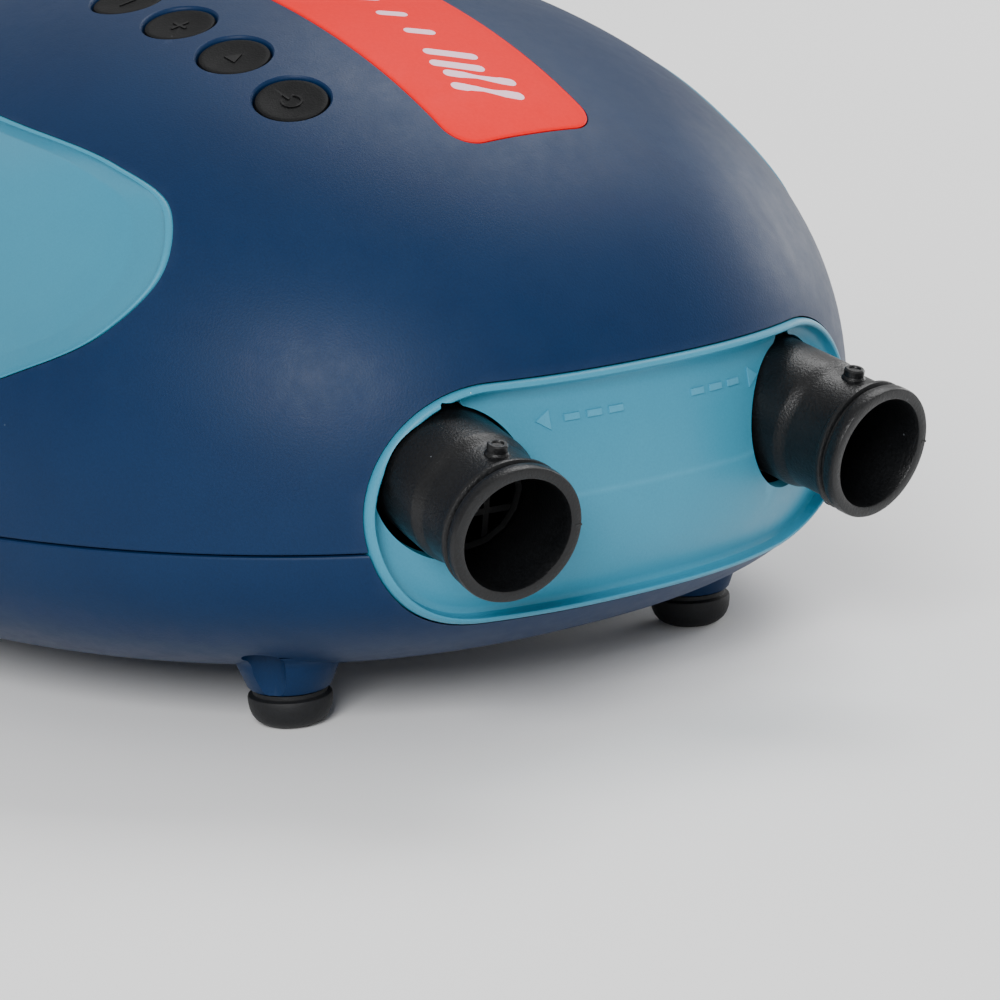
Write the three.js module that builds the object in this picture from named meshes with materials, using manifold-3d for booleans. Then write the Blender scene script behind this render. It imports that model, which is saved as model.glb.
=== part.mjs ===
// Portable twelve-volt inflation pump with an inflate and a deflate port.
// Millimetres. X runs forward to the ports, Y to the pump's left, Z up from the floor.
// Lengths along X below are counted from the middle of the housing.
import * as THREE from "three";
import { mergeVertices } from "three/addons/utils/BufferGeometryUtils.js";
import Module from "manifold-3d";

const wasm = await Module();
wasm.setup();

// ---- Housing: a super-ellipsoid, flat underneath, split at the parting line.
const HALF_LENGTH = 156.5;
const HALF_WIDTH = 99;
const WAIST_Z = 44.3;
const DOME_HEIGHT = 80.5;
const BELLY_HEIGHT = 43;
const BASE_Z = 10.3;
const PLAN_POWER = 2.33;
const DOME_POWER = 2.17;
const BELLY_POWER = 2.9;
const WALL = 2.6;
const PARTING_Z = 37;
const GAP = 0.3;
const SIDES = 32;
const DOME_RINGS = 7;
const BELLY_RINGS = 3;

// ---- Ports: two short nozzles that point forward and a little down.
const PORT_SPACING = 76;
const PORT_X = 166.8;
const PORT_Z = 42.4;
const PORT_TILT = THREE.MathUtils.degToRad(13.3);
const PORT_SPLAY = THREE.MathUtils.degToRad(6.5);
const BORE_R = 9.6;
const FLANGE_R = 11.7;
const NOZZLE_LENGTH = 40;
const PORT_HOLE_R = 12.5;
const PORT_HOLE_DROP = 0.6;

// ---- Port panel: a stadium-shaped tray set into the nose.
const PANEL_HALF_WIDTH = 53.4;
const PANEL_HALF_HEIGHT = 20.5;
const PANEL_Y = 3.3;
const PANEL_Z = 42.4;
const PANEL_LIP = 1.6;
const PANEL_PROUD = 0.8;
const PANEL_DEPTH = 3.6;
const PANEL_FLOOR = 2.4;

// ---- Finger recesses in both flanks.
const GRIP_DEPTH = 21;
const GRIP_WALL = 2.2;
const GRIP_LIP = 1.6;
const GRIP_CENTRE = [12, 79];

// ---- Top controls.
const BUTTON_COUNT = 5;
const BUTTON_PITCH = 17.2;
const BUTTON_FIRST_X = 100;
const BUTTON_Y = -32.3;
const BUTTON_R = 6.3;
const BUTTON_TRAVEL = 1;
const BADGE = { front: 123.2, rear: 31, halfWidth: 14.6, corner: 5 };
const WINDOW = { front: 22, rear: -44, halfWidth: 23, corner: 7 };

// ---- Feet.
const FOOT_X = 106.8;
const FOOT_Y = 44;
const FOOT_TOP_R = 9;
const FOOT_STUB_R = 7.3;
const FOOT_STUB_Z = 6.6;

// ---- Blower, stage one: its axis lies along X.
const BLOWER = { x: -61, z: 58, radius: 37, depth: 30, wall: 2.4 };
const IMPELLER_R = 30;
const IMPELLER_BLADES = 9;
const BLOWER_MOTOR = { radius: 17, length: 40 };
const SHAFT_R = 1.6;

// ---- Compressor, stage two: a geared crank drives a piston across the pump.
const GEAR_MODULE = 1.25;
const PINION_TEETH = 10;
const CRANK_TEETH = 36;
const CRANK = { y: 0.9, z: 40 };
const CRANK_RADIUS = 8;
const ROD_LENGTH = 44;
const ROD_X = 39;
const PISTON_R = 10.7;
const CYLINDER_R = 11;
const MOTOR_R = 15;
const BRACKET = { x: 27.5, thick: 3 };

// ---- Ducts.
const DUCT_R = 10.5;
const DUCT_BORE = 8.5;
const DUCT_GAP = 0.8;

const UP = new THREE.Vector3(0, 0, 1);
const FORWARD = new THREE.Vector3(1, 0, 0);
const LEFT = new THREE.Vector3(0, 1, 0);
const LATHE_AXIS = new THREE.Vector3(0, 1, 0);

function finish(color, roughness, metalness = 0) {
  return new THREE.MeshStandardMaterial({ color, roughness, metalness });
}

const NAVY = finish(0x163759, 0.45);
const TEAL = finish(0x5091a8, 0.5);
const RED = finish(0xfa474a, 0.45);
const BLACK = finish(0x15161a, 0.5);
const RUBBER = finish(0x17181b, 0.85);
const SMOKE = finish(0x0b0d10, 0.15);
const GREY = finish(0x9aa0a4, 0.6);
const STEEL = finish(0xb9bcc0, 0.35, 1);
const ALUMINIUM = finish(0xc9ccd0, 0.4, 1);
const BRASS = finish(0xc9a55a, 0.35, 1);
const BOARD = finish(0x1c5a3a, 0.6);
const NYLON = finish(0xe6e2d6, 0.55);

const pump = new THREE.Group();

// ---------------------------------------------------------------- solids

// A closed three.js geometry as a manifold-3d solid, with its faces turned outward.
function solid(geometry) {
  const bare = geometry.clone();
  bare.deleteAttribute("normal");
  bare.deleteAttribute("uv");
  const merged = mergeVertices(bare, 1e-4);
  const triVerts = new Uint32Array(merged.index.array);
  const vertProperties = new Float32Array(merged.attributes.position.array);
  const made = new wasm.Manifold(new wasm.Mesh({ numProp: 3, vertProperties, triVerts }));
  if (made.volume() > 0) return made;
  for (let i = 0; i < triVerts.length; i += 3) {
    [triVerts[i + 1], triVerts[i + 2]] = [triVerts[i + 2], triVerts[i + 1]];
  }
  return new wasm.Manifold(new wasm.Mesh({ numProp: 3, vertProperties, triVerts }));
}

function geometryOf(made) {
  const mesh = made.getMesh();
  const position = new Float32Array(mesh.numVert * 3);
  for (let i = 0; i < mesh.numVert; i++) {
    position.set(mesh.vertProperties.subarray(i * mesh.numProp, i * mesh.numProp + 3), i * 3);
  }
  const geometry = new THREE.BufferGeometry();
  geometry.setAttribute("position", new THREE.BufferAttribute(position, 3));
  geometry.setIndex(new THREE.BufferAttribute(new Uint32Array(mesh.triVerts), 1));
  geometry.computeVertexNormals();
  return geometry;
}

// Adds one named piece. Its shape is a solid; `at` and `along` place a piece drawn about its own axis.
function piece(name, shape, material, at, along) {
  const mesh = new THREE.Mesh(geometryOf(shape), material);
  mesh.name = name;
  if (at) mesh.position.set(...at);
  if (along) mesh.quaternion.setFromUnitVectors(LATHE_AXIS, along);
  pump.add(mesh);
  return mesh;
}

function moved(shape, at, along = LATHE_AXIS) {
  const turn = new THREE.Quaternion().setFromUnitVectors(LATHE_AXIS, along);
  const place = new THREE.Matrix4().compose(new THREE.Vector3(...at), turn, new THREE.Vector3(1, 1, 1));
  return shape.transform(place.elements);
}

// A turned solid about the local Y axis, from [radius, height] points.
function turned(profile, segments = 16) {
  const points = profile.map(([r, h]) => new THREE.Vector2(r, h));
  const first = points[0];
  const last = points[points.length - 1];
  if (first.x > 0 || last.x > 0) points.push(first.clone());
  return solid(new THREE.LatheGeometry(points, segments));
}

function rod(radius, from, to, segments = 14) {
  return turned([[0, from], [radius, from], [radius, to], [0, to]], segments);
}

function tube(outer, inner, from, to, segments = 20) {
  return turned([[inner, from], [outer, from], [outer, to], [inner, to]], segments);
}

function block(low, high) {
  const size = high.map((v, i) => v - low[i]);
  const box = new THREE.BoxGeometry(...size);
  box.translate(...low.map((v, i) => v + size[i] / 2));
  return solid(box);
}

function united(shapes) {
  return shapes.reduce((all, next) => all.add(next));
}

function without(shape, ...cutters) {
  return cutters.reduce((left, cutter) => left.subtract(cutter), shape);
}

// A flat outline pulled along Z from `from` to `to`.
function prism(shape, from, to, curveSegments = 6) {
  const made = new THREE.ExtrudeGeometry(shape, { depth: to - from, bevelEnabled: false, curveSegments });
  made.translate(0, 0, from);
  return solid(made);
}

function roundedRect(low, high, corner) {
  const shape = new THREE.Shape();
  const [x0, y0] = low;
  const [x1, y1] = high;
  shape.moveTo(x0 + corner, y0);
  shape.lineTo(x1 - corner, y0);
  shape.absarc(x1 - corner, y0 + corner, corner, -Math.PI / 2, 0);
  shape.lineTo(x1, y1 - corner);
  shape.absarc(x1 - corner, y1 - corner, corner, 0, Math.PI / 2);
  shape.lineTo(x0 + corner, y1);
  shape.absarc(x0 + corner, y1 - corner, corner, Math.PI / 2, Math.PI);
  shape.lineTo(x0, y0 + corner);
  shape.absarc(x0 + corner, y0 + corner, corner, Math.PI, Math.PI * 1.5);
  return shape;
}

// A solid from rings of points, closed by a fan at both ends.
function ringSolid(rings, firstPoint, lastPoint) {
  const count = rings[0].length;
  const position = [firstPoint, ...rings.flat(), lastPoint].flat();
  const index = [];
  const at = (ring, side) => 1 + ring * count + (side % count);
  const last = 1 + rings.length * count;
  for (let side = 0; side < count; side++) {
    index.push(0, at(0, side + 1), at(0, side));
    for (let ring = 0; ring + 1 < rings.length; ring++) {
      index.push(at(ring, side), at(ring, side + 1), at(ring + 1, side));
      index.push(at(ring + 1, side), at(ring, side + 1), at(ring + 1, side + 1));
    }
    index.push(last, at(rings.length - 1, side), at(rings.length - 1, side + 1));
  }
  const geometry = new THREE.BufferGeometry();
  geometry.setAttribute("position", new THREE.Float32BufferAttribute(position, 3));
  geometry.setIndex(index);
  return solid(geometry);
}

// A hose or duct: a round section with a bore, pulled along a smooth path.
function pipe(points, radius, bore, steps, sides = 16) {
  const path = new THREE.CatmullRomCurve3(points.map((p) => new THREE.Vector3(...p)));
  const section = new THREE.Shape().absarc(0, 0, radius, 0, Math.PI * 2);
  if (bore) section.holes.push(new THREE.Path().absarc(0, 0, bore, 0, Math.PI * 2));
  const options = { steps, extrudePath: path, curveSegments: sides, bevelEnabled: false };
  return solid(new THREE.ExtrudeGeometry(section, options));
}

// ---------------------------------------------------------------- housing form

function signedPower(value, power) {
  return Math.sign(value) * Math.abs(value) ** power;
}

// The housing's outer form, drawn in by `inset` all round, with its flat floor at `floorZ`.
function bodyForm(inset, floorZ = BASE_Z) {
  const belly = BELLY_HEIGHT - inset;
  const floorAngle = Math.asin(((WAIST_Z - floorZ) / belly) ** (BELLY_POWER / 2));
  const angles = [];
  for (let k = 0; k < BELLY_RINGS; k++) angles.push(-floorAngle * (1 - k / BELLY_RINGS));
  for (let k = 0; k < DOME_RINGS; k++) angles.push((k / DOME_RINGS) * (Math.PI / 2));
  const rings = angles.map((angle) => {
    const height = angle < 0 ? belly : DOME_HEIGHT - inset;
    const bend = 2 / (angle < 0 ? BELLY_POWER : DOME_POWER);
    const scale = Math.cos(angle) ** bend;
    const z = WAIST_Z + height * signedPower(Math.sin(angle), bend);
    const ring = [];
    for (let side = 0; side < SIDES; side++) {
      const turn = (side / SIDES) * Math.PI * 2;
      const x = (HALF_LENGTH - inset) * scale * signedPower(Math.cos(turn), 2 / PLAN_POWER);
      const y = (HALF_WIDTH - inset) * scale * signedPower(Math.sin(turn), 2 / PLAN_POWER);
      ring.push([x, y, z]);
    }
    return ring;
  });
  return ringSolid(rings, [0, 0, rings[0][0][2]], [0, 0, WAIST_Z + DOME_HEIGHT - inset]);
}

// How large the level section at height z is, against the largest one.
function sectionScale(z) {
  const [height, power] = z > WAIST_Z ? [DOME_HEIGHT, DOME_POWER] : [BELLY_HEIGHT, BELLY_POWER];
  return (1 - Math.abs((z - WAIST_Z) / height) ** power) ** (1 / power);
}

// Half the housing's width at a place on its flank.
function flankAt(x, z) {
  const left = sectionScale(z) ** PLAN_POWER - Math.abs(x / HALF_LENGTH) ** PLAN_POWER;
  return HALF_WIDTH * Math.max(left, 0) ** (1 / PLAN_POWER);
}

// The point of the dome above (x, y), and the way its surface faces there.
function planReach(x, y) {
  const total = Math.abs(x / HALF_LENGTH) ** PLAN_POWER + Math.abs(y / HALF_WIDTH) ** PLAN_POWER;
  return total ** (1 / PLAN_POWER);
}

function domePoint(x, y) {
  return [x, y, WAIST_Z + DOME_HEIGHT * (1 - planReach(x, y) ** DOME_POWER) ** (1 / DOME_POWER)];
}

function domeNormal(x, y) {
  const z = domePoint(x, y)[2] - WAIST_Z;
  const spread = planReach(x, y) ** (DOME_POWER - PLAN_POWER);
  return new THREE.Vector3(
    (spread * signedPower(x / HALF_LENGTH, PLAN_POWER - 1)) / HALF_LENGTH,
    (spread * signedPower(y / HALF_WIDTH, PLAN_POWER - 1)) / HALF_WIDTH,
    signedPower(z / DOME_HEIGHT, DOME_POWER - 1) / DOME_HEIGHT,
  ).normalize();
}

const outerForm = bodyForm(0);
const innerForm = bodyForm(WALL, BASE_Z + WALL);
const above = block([-200, -200, PARTING_Z + GAP / 2], [200, 200, 200]);
const below = block([-200, -200, -10], [200, 200, PARTING_Z - GAP / 2]);

// ---------------------------------------------------------------- port panel and nozzles

function panelPrism(grow) {
  const low = [PANEL_Z - PANEL_HALF_HEIGHT - grow, PANEL_Y - PANEL_HALF_WIDTH - grow];
  const high = [PANEL_Z + PANEL_HALF_HEIGHT + grow, PANEL_Y + PANEL_HALF_WIDTH + grow];
  const outline = roundedRect(low, high, PANEL_HALF_HEIGHT + grow - 0.05);
  const upright = prism(outline, 90, 190, 6);
  // The outline's own X becomes the pump's Z, and it is pulled forward along X.
  const turn = new THREE.Matrix4().set(0, 0, 1, 0, 0, 1, 0, 0, 1, 0, 0, 0, 0, 0, 0, 1);
  return solid(geometryOf(upright).applyMatrix4(turn));
}

function portDirection(side) {
  const level = Math.cos(PORT_TILT);
  return new THREE.Vector3(
    level * Math.cos(PORT_SPLAY),
    side * level * Math.sin(PORT_SPLAY),
    -Math.sin(PORT_TILT),
  );
}

// A point on a port's axis, `back` behind the middle of its mouth.
function portPoint(side, back) {
  const mouth = [PORT_X, (side * PORT_SPACING) / 2, PORT_Z];
  return mouth.map((v, i) => v - portDirection(side).getComponent(i) * back);
}

// The port's own frame: Y runs out along the port and Z stays upright.
function portFrame(side, back) {
  const along = portDirection(side);
  const across = new THREE.Vector3().crossVectors(along, UP).normalize();
  const upright = new THREE.Vector3().crossVectors(across, along);
  return new THREE.Matrix4().makeBasis(across, along, upright).setPosition(...portPoint(side, back));
}

// Outer steps from the mouth back: end flange, groove, ring, barrel, shoulder and base.
const nozzleProfile = [
  [BORE_R, 0],
  [FLANGE_R - 0.5, 0],
  [FLANGE_R, -0.6],
  [FLANGE_R, -2.6],
  [FLANGE_R - 0.9, -3.1],
  [FLANGE_R - 0.9, -3.8],
  [FLANGE_R - 0.3, -4.2],
  [FLANGE_R - 0.3, -5.2],
  [FLANGE_R - 1, -5.8],
  [FLANGE_R - 1, -11.4],
  [FLANGE_R - 0.7, -13],
  [FLANGE_R - 0.2, -14.6],
  [FLANGE_R - 0.2, -NOZZLE_LENGTH],
  [BORE_R, -NOZZLE_LENGTH],
];

const BAYONET_PIN = { radius: 1.5, tip: FLANGE_R + 0.9, back: 8 };

function nozzle() {
  const pin = rod(BAYONET_PIN.radius, BORE_R + 0.5, BAYONET_PIN.tip, 8);
  const pinUp = moved(pin, [0, -BAYONET_PIN.back, 0], UP);
  const down = UP.clone().negate();
  const pinDown = moved(pin, [0, -BAYONET_PIN.back, 0], down);
  return united([turned(nozzleProfile, 18), pinUp, pinDown]);
}

function placePort(mesh, side) {
  mesh.applyMatrix4(portFrame(side, 0));
}

const NOTCH = { halfWidth: 2.3, height: 1.6 };

function portHole(side) {
  const top = PORT_HOLE_R + NOTCH.height;
  const key = solid(new THREE.BoxGeometry(NOTCH.halfWidth * 2, 60, top).translate(0, 30, top / 2));
  const sunk = rod(PORT_HOLE_R, 0, 60, 20).add(key).translate([0, 0, -PORT_HOLE_DROP]);
  return sunk.transform(portFrame(side, 45).elements);
}

const panelOuter = panelPrism(0);
const panelPocket = without(panelPrism(-PANEL_LIP), bodyForm(PANEL_DEPTH, BASE_Z + 6));
const portPanel = without(
  panelOuter.intersect(bodyForm(-PANEL_PROUD)),
  panelPocket,
  bodyForm(PANEL_DEPTH + PANEL_FLOOR, BASE_Z + 8),
  portHole(-1),
  portHole(1),
);
piece("port_panel", portPanel, TEAL);
placePort(piece("nozzle_deflate", nozzle(), BLACK), -1);
placePort(piece("nozzle_inflate", nozzle(), BLACK), 1);

// ---------------------------------------------------------------- finger recesses

// The recess edge seen from the side, as [x, z], from the forward tip over the top.
const GRIP_EDGE = [
  [108.7, 80.5],
  [103.5, 90],
  [89, 96.4],
  [64, 101.6],
  [25, 106.5],
  [-25, 105],
  [-66, 96.5],
  [-86, 80],
  [-74, 62.5],
  [-36, 53],
  [15, 50.5],
  [60, 55.4],
  [90, 64.8],
  [104, 72],
];

function gripForm(side, grow, baseDepth) {
  const curve = new THREE.CatmullRomCurve3(
    GRIP_EDGE.map(([x, z]) => new THREE.Vector3(x, 0, z)),
    true,
  );
  const edge = curve.getPoints(22).slice(0, -1);
  const [cx, cz] = GRIP_CENTRE;
  const steps = [0, 0.07, 0.18, 0.36, 0.66];
  const ringAt = (inward, depth) =>
    edge.map((p) => {
      const out = new THREE.Vector2(p.x - cx, p.z - cz);
      const reach = (out.length() + grow) / out.length();
      const x = cx + out.x * reach * (1 - inward);
      const z = cz + out.y * reach * (1 - inward);
      return [x, side * (flankAt(x, z) - depth), z];
    });
  const bowl = steps.map((s) => ringAt(s, baseDepth + GRIP_DEPTH * (1 - (1 - s) ** 6)));
  const outside = ringAt(0, -12);
  const deepest = [cx, side * (flankAt(cx, cz) - baseDepth - GRIP_DEPTH), cz];
  return ringSolid([outside, ...bowl], [cx, side * (HALF_WIDTH + 12), cz], deepest);
}

for (const [side, name] of [[-1, "right"], [1, "left"]]) {
  const shape = gripForm(side, 0, GRIP_WALL).intersect(bodyForm(-0.3));
  piece("grip_liner_" + name, without(shape, gripForm(side, -GRIP_LIP, 0)), TEAL);
}

// ---------------------------------------------------------------- top controls

function topPrism(area, grow) {
  const low = [area.rear - grow, -area.halfWidth - grow];
  const high = [area.front + grow, area.halfWidth + grow];
  return prism(roundedRect(low, high, area.corner + grow), 60, 140, 3);
}

// The part of a dome shell between two depths that lies inside an outline.
function skin(outline, outerInset, innerInset) {
  return without(outline.intersect(bodyForm(outerInset, PARTING_Z)), bodyForm(innerInset, PARTING_Z));
}

const badgePocket = without(topPrism(BADGE, GAP), bodyForm(1.4));
const windowPocket = without(topPrism(WINDOW, GAP), bodyForm(1.6));
const windowOpening = topPrism(WINDOW, -2.5);
piece("badge_plate", skin(topPrism(BADGE, 0), -0.1, 1.1), RED);
piece("display_window", skin(topPrism(WINDOW, 0), 0, 1.3), SMOKE);

const buttonNames = ["power", "mode", "plus", "minus", "unit"];
const buttonSpots = buttonNames.map((name, i) => {
  const x = BUTTON_FIRST_X - i * BUTTON_PITCH;
  return { name, at: domePoint(x, BUTTON_Y), normal: domeNormal(x, BUTTON_Y) };
});

// Cap with a slightly dished top, a retaining rim under the shell and a stem to its switch.
const buttonShape = turned([
  [0, -0.9],
  [BUTTON_R - 1.6, -0.6],
  [BUTTON_R - 0.5, -0.5],
  [BUTTON_R, -1],
  [BUTTON_R, -4.7],
  [BUTTON_R + 1, -4.7],
  [BUTTON_R + 1, -5.4],
  [2, -5.4],
  [2, -6.4],
  [0, -6.4],
], 14);
for (const { name, at, normal } of buttonSpots) {
  piece("button_" + name, buttonShape, BLACK, at, normal);
}
const buttonHoles = buttonSpots.map(({ at, normal }) => moved(turned([
  [0, -8],
  [BUTTON_R + GAP, -8],
  [BUTTON_R + GAP, -0.9],
  [BUTTON_R + 1.2, 0.4],
  [BUTTON_R + 1.2, 4],
  [0, 4],
], 14), at, normal));

// Silicone key mat and switch board follow the dome under the button row.
const KEY_ROW = { front: 108, rear: 22, halfWidth: 9, corner: 4 };
const keyRow = topPrism(KEY_ROW, 0).translate([0, BUTTON_Y, 0]);
piece("key_mat", skin(keyRow, 7.8, 9), GREY);
piece("switch_board", skin(keyRow, 9.4, 10.8), BOARD);

// ---------------------------------------------------------------- shells

const feet = [];
for (const [end, endName] of [[1, "front"], [-1, "rear"]]) {
  for (const [side, sideName] of [[1, "left"], [-1, "right"]]) {
    feet.push({ name: endName + "_" + sideName, x: end * FOOT_X, y: side * FOOT_Y });
  }
}
const stub = turned([[0, FOOT_STUB_Z], [FOOT_STUB_R, FOOT_STUB_Z], [FOOT_TOP_R, 16.5], [0, 16.5]], 14);
const stubSocket = rod(3.3, 0, 15, 12);
const footCap = turned([
  [0, 0],
  [3.8, 0],
  [6.2, 1.1],
  [7.2, 3.2],
  [7.3, 5.4],
  [6.4, 5.4],
  [6.4, 6.3],
  [3, 6.3],
  [3, 14],
  [0, 14],
], 14);

const bosses = [
  { name: "front_left", x: 113, y: 53 },
  { name: "front_right", x: 113, y: -53 },
  { name: "rear_left", x: -112, y: 64 },
  { name: "rear_right", x: -112, y: -64 },
  { name: "tail_left", x: -133, y: 18 },
  { name: "tail_right", x: -133, y: -18 },
];
const SCREW_HEAD_Z = 25;
const lowerBoss = rod(5.2, 18, PARTING_Z - GAP / 2, 12);
const lowerBossHole = united([rod(1.7, 5, 60, 6), rod(3.6, 5, SCREW_HEAD_Z + GAP, 10)]);
const upperBoss = rod(4.6, PARTING_Z + GAP / 2, 120, 10);
const upperBossHole = rod(1.7, PARTING_Z - 2, 57, 6);
const screw = united([
  rod(1.35, SCREW_HEAD_Z - 1, 55, 6),
  without(
    turned([
      [0, SCREW_HEAD_Z - 2.4],
      [2.2, SCREW_HEAD_Z - 2.4],
      [3.2, SCREW_HEAD_Z - 1.2],
      [3.2, SCREW_HEAD_Z],
      [0, SCREW_HEAD_Z],
    ], 8),
    block([-0.5, SCREW_HEAD_Z - 3, -2], [0.5, SCREW_HEAD_Z - 1, 2]),
    block([-2, SCREW_HEAD_Z - 3, -0.5], [2, SCREW_HEAD_Z - 1, 0.5]),
  ),
]);

const standing = (shape, { x, y }) => moved(shape, [x, y, 0], UP);

for (const foot of feet) piece("foot_cap_" + foot.name, footCap, RUBBER, [foot.x, foot.y, 0], UP);
for (const boss of bosses) piece("screw_" + boss.name, screw, STEEL, [boss.x, boss.y, 0], UP);

// Rear air slots in the dome, and the power inlet below them.
const SLOT = { count: 7, pitch: 9, width: 3.4, low: 56, high: 78 };
const INLET = { z: 48, radius: 6.5, bore: 4.2 };
const airSlots = [];
for (let i = 0; i < SLOT.count; i++) {
  const y = (i - (SLOT.count - 1) / 2) * SLOT.pitch;
  airSlots.push(block([-170, y - SLOT.width / 2, SLOT.low], [-118, y + SLOT.width / 2, SLOT.high]));
}
const inletHole = moved(rod(INLET.radius + GAP, 0, 50, 18), [-170, 0, INLET.z], FORWARD);

// A register lip on the lower shell locates the upper one.
const lip = without(
  bodyForm(WALL + GAP, BASE_Z + WALL).intersect(
    block([-200, -200, PARTING_Z - 4], [200, 200, PARTING_Z + 2.5]),
  ),
  bodyForm(WALL + GAP + 1.4, BASE_Z + WALL),
);
const gripCuts = [-1, 1].map((side) => gripForm(side, GAP, GRIP_WALL + GAP));
const panelCut = panelPrism(GAP);
const portCuts = [-1, 1].map((side) => rod(PORT_HOLE_R, 0, 60, 16).transform(portFrame(side, 45).elements));
const shellSkin = without(outerForm, innerForm);

piece("upper_shell", without(
  united([shellSkin.intersect(above), ...bosses.map((b) => standing(upperBoss, b).intersect(outerForm))]),
  ...bosses.map((b) => standing(upperBossHole, b)),
  ...gripCuts,
  panelCut,
  ...portCuts,
  badgePocket,
  windowPocket,
  windowOpening,
  ...buttonHoles,
  ...airSlots,
  inletHole,
), NAVY);

piece("lower_shell", without(
  united([
    shellSkin.intersect(below),
    lip,
    ...bosses.map((b) => standing(lowerBoss, b).intersect(outerForm)),
    ...feet.map((f) => standing(stub, f)),
  ]),
  ...bosses.map((b) => standing(lowerBossHole, b)),
  ...bosses.map((b) => standing(rod(5.2 + GAP, PARTING_Z - GAP / 2, 60, 12), b)),
  ...feet.map((f) => standing(stubSocket, f)),
  ...gripCuts,
  panelCut,
  ...portCuts,
  inletHole,
), NAVY);

// ---------------------------------------------------------------- stage one blower

const blowerFront = BLOWER.x + BLOWER.depth / 2;
const blowerBack = BLOWER.x - BLOWER.depth / 2;
const voluteHollow = rod(BLOWER.radius - BLOWER.wall, BLOWER.wall, BLOWER.depth + 1, 22);
const volute = without(
  united([
    moved(rod(BLOWER.radius, 0, BLOWER.depth, 22), [blowerBack, 0, BLOWER.z], FORWARD),
    moved(rod(DUCT_R, 0, 38, 14), [BLOWER.x, 0, BLOWER.z + 24], LEFT),
  ]),
  moved(voluteHollow, [blowerBack, 0, BLOWER.z], FORWARD),
  moved(rod(DUCT_BORE, 0, 50, 14), [BLOWER.x, 0, BLOWER.z + 24], LEFT),
  moved(rod(3, -5, 10, 12), [blowerBack, 0, BLOWER.z], FORWARD),
);
piece("blower_volute", volute, BLACK);
piece("blower_inlet_cover", moved(turned([
  [DUCT_BORE, GAP],
  [BLOWER.radius, GAP],
  [BLOWER.radius, 2.4],
  [DUCT_R + 3, 2.4],
  [DUCT_R, 6],
  [DUCT_R, 9],
  [DUCT_BORE, 9],
], 20), [blowerFront, 0, BLOWER.z], FORWARD), BLACK);

const bladeLength = IMPELLER_R - 11;
const impellerBlades = [];
for (let i = 0; i < IMPELLER_BLADES; i++) {
  const blade = new THREE.BoxGeometry(bladeLength, 9, 1.2);
  blade.rotateY(0.5);
  blade.translate(11 + bladeLength / 2 - 1.5, 5.5, 0);
  blade.rotateY((i / IMPELLER_BLADES) * Math.PI * 2);
  impellerBlades.push(solid(blade));
}
const impellerDisc = turned([
  [SHAFT_R + 0.1, 0],
  [IMPELLER_R, 0],
  [IMPELLER_R, 1.6],
  [7, 2.4],
  [5, 8],
  [SHAFT_R + 0.1, 8],
], 24);
const impellerX = blowerBack + 6;
piece("impeller", united([impellerDisc, ...impellerBlades]), NYLON, [impellerX, 0, BLOWER.z], FORWARD);

const motorBack = blowerBack - GAP - BLOWER_MOTOR.length;
piece("blower_motor", turned([
  [SHAFT_R + 0.4, 0],
  [5, 0],
  [6, 2],
  [BLOWER_MOTOR.radius - 1.5, 2],
  [BLOWER_MOTOR.radius, 3.5],
  [BLOWER_MOTOR.radius, BLOWER_MOTOR.length],
  [SHAFT_R + 0.4, BLOWER_MOTOR.length],
], 16), STEEL, [motorBack, 0, BLOWER.z], FORWARD);
piece("blower_shaft", rod(SHAFT_R, motorBack - 9, impellerX + 9, 16), STEEL, [0, 0, BLOWER.z], FORWARD);

const fanBlades = [];
for (let i = 0; i < 6; i++) {
  const blade = new THREE.BoxGeometry(10, 1, 7);
  blade.rotateX(0.6);
  blade.translate(9.5, 0, 0);
  blade.rotateY((i / 6) * Math.PI * 2);
  fanBlades.push(solid(blade));
}
const fanHub = tube(5.5, SHAFT_R + 0.1, -3, 3, 16);
piece("cooling_fan", united([fanHub, ...fanBlades]), NYLON, [motorBack - 6, 0, BLOWER.z], FORWARD);

// ---------------------------------------------------------------- stage two compressor

function gear(teeth, from, to, bore) {
  const pitchR = (GEAR_MODULE * teeth) / 2;
  const toothAngle = (Math.PI * 2) / teeth;
  const rootR = pitchR - GEAR_MODULE * 1.15;
  const tipR = pitchR + GEAR_MODULE * 0.8;
  const outline = new THREE.Shape();
  const corners = [[rootR, -0.29], [tipR, -0.1], [tipR, 0.1], [rootR, 0.29]];
  for (let i = 0; i < teeth; i++) {
    for (const [radius, part] of corners) {
      const angle = (i + part) * toothAngle;
      const x = radius * Math.cos(angle);
      const y = radius * Math.sin(angle);
      if (i === 0 && part === corners[0][1]) outline.moveTo(x, y);
      else outline.lineTo(x, y);
    }
  }
  if (bore) outline.holes.push(new THREE.Path().absarc(0, 0, bore, 0, Math.PI * 2));
  return prism(outline, from, to, 6);
}

// A gear is drawn flat in XY about Z; on the pump its axis lies along X and its zero angle on -Y.
function acrossPump(shape, phase, at) {
  const geometry = geometryOf(shape);
  geometry.rotateZ(phase);
  const turn = new THREE.Matrix4().set(0, 0, 1, 0, -1, 0, 0, 0, 0, -1, 0, 0, 0, 0, 0, 1);
  geometry.applyMatrix4(turn);
  geometry.translate(...at);
  return solid(geometry);
}

const centreDistance = (GEAR_MODULE * (PINION_TEETH + CRANK_TEETH)) / 2 + 0.2;
const MOTOR_Y = CRANK.y - centreDistance;
const gearBack = BRACKET.x + BRACKET.thick / 2 + 1.5;
const gearFront = gearBack + 4.5;
const crankGear = united([
  acrossPump(gear(CRANK_TEETH, 0, gearFront - gearBack, 0), 0, [gearBack, CRANK.y, CRANK.z]),
  moved(rod(2.7, gearBack - 8, gearBack + 1, 12), [0, CRANK.y, CRANK.z], FORWARD),
]);
piece("crank_gear", crankGear, NYLON);

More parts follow.
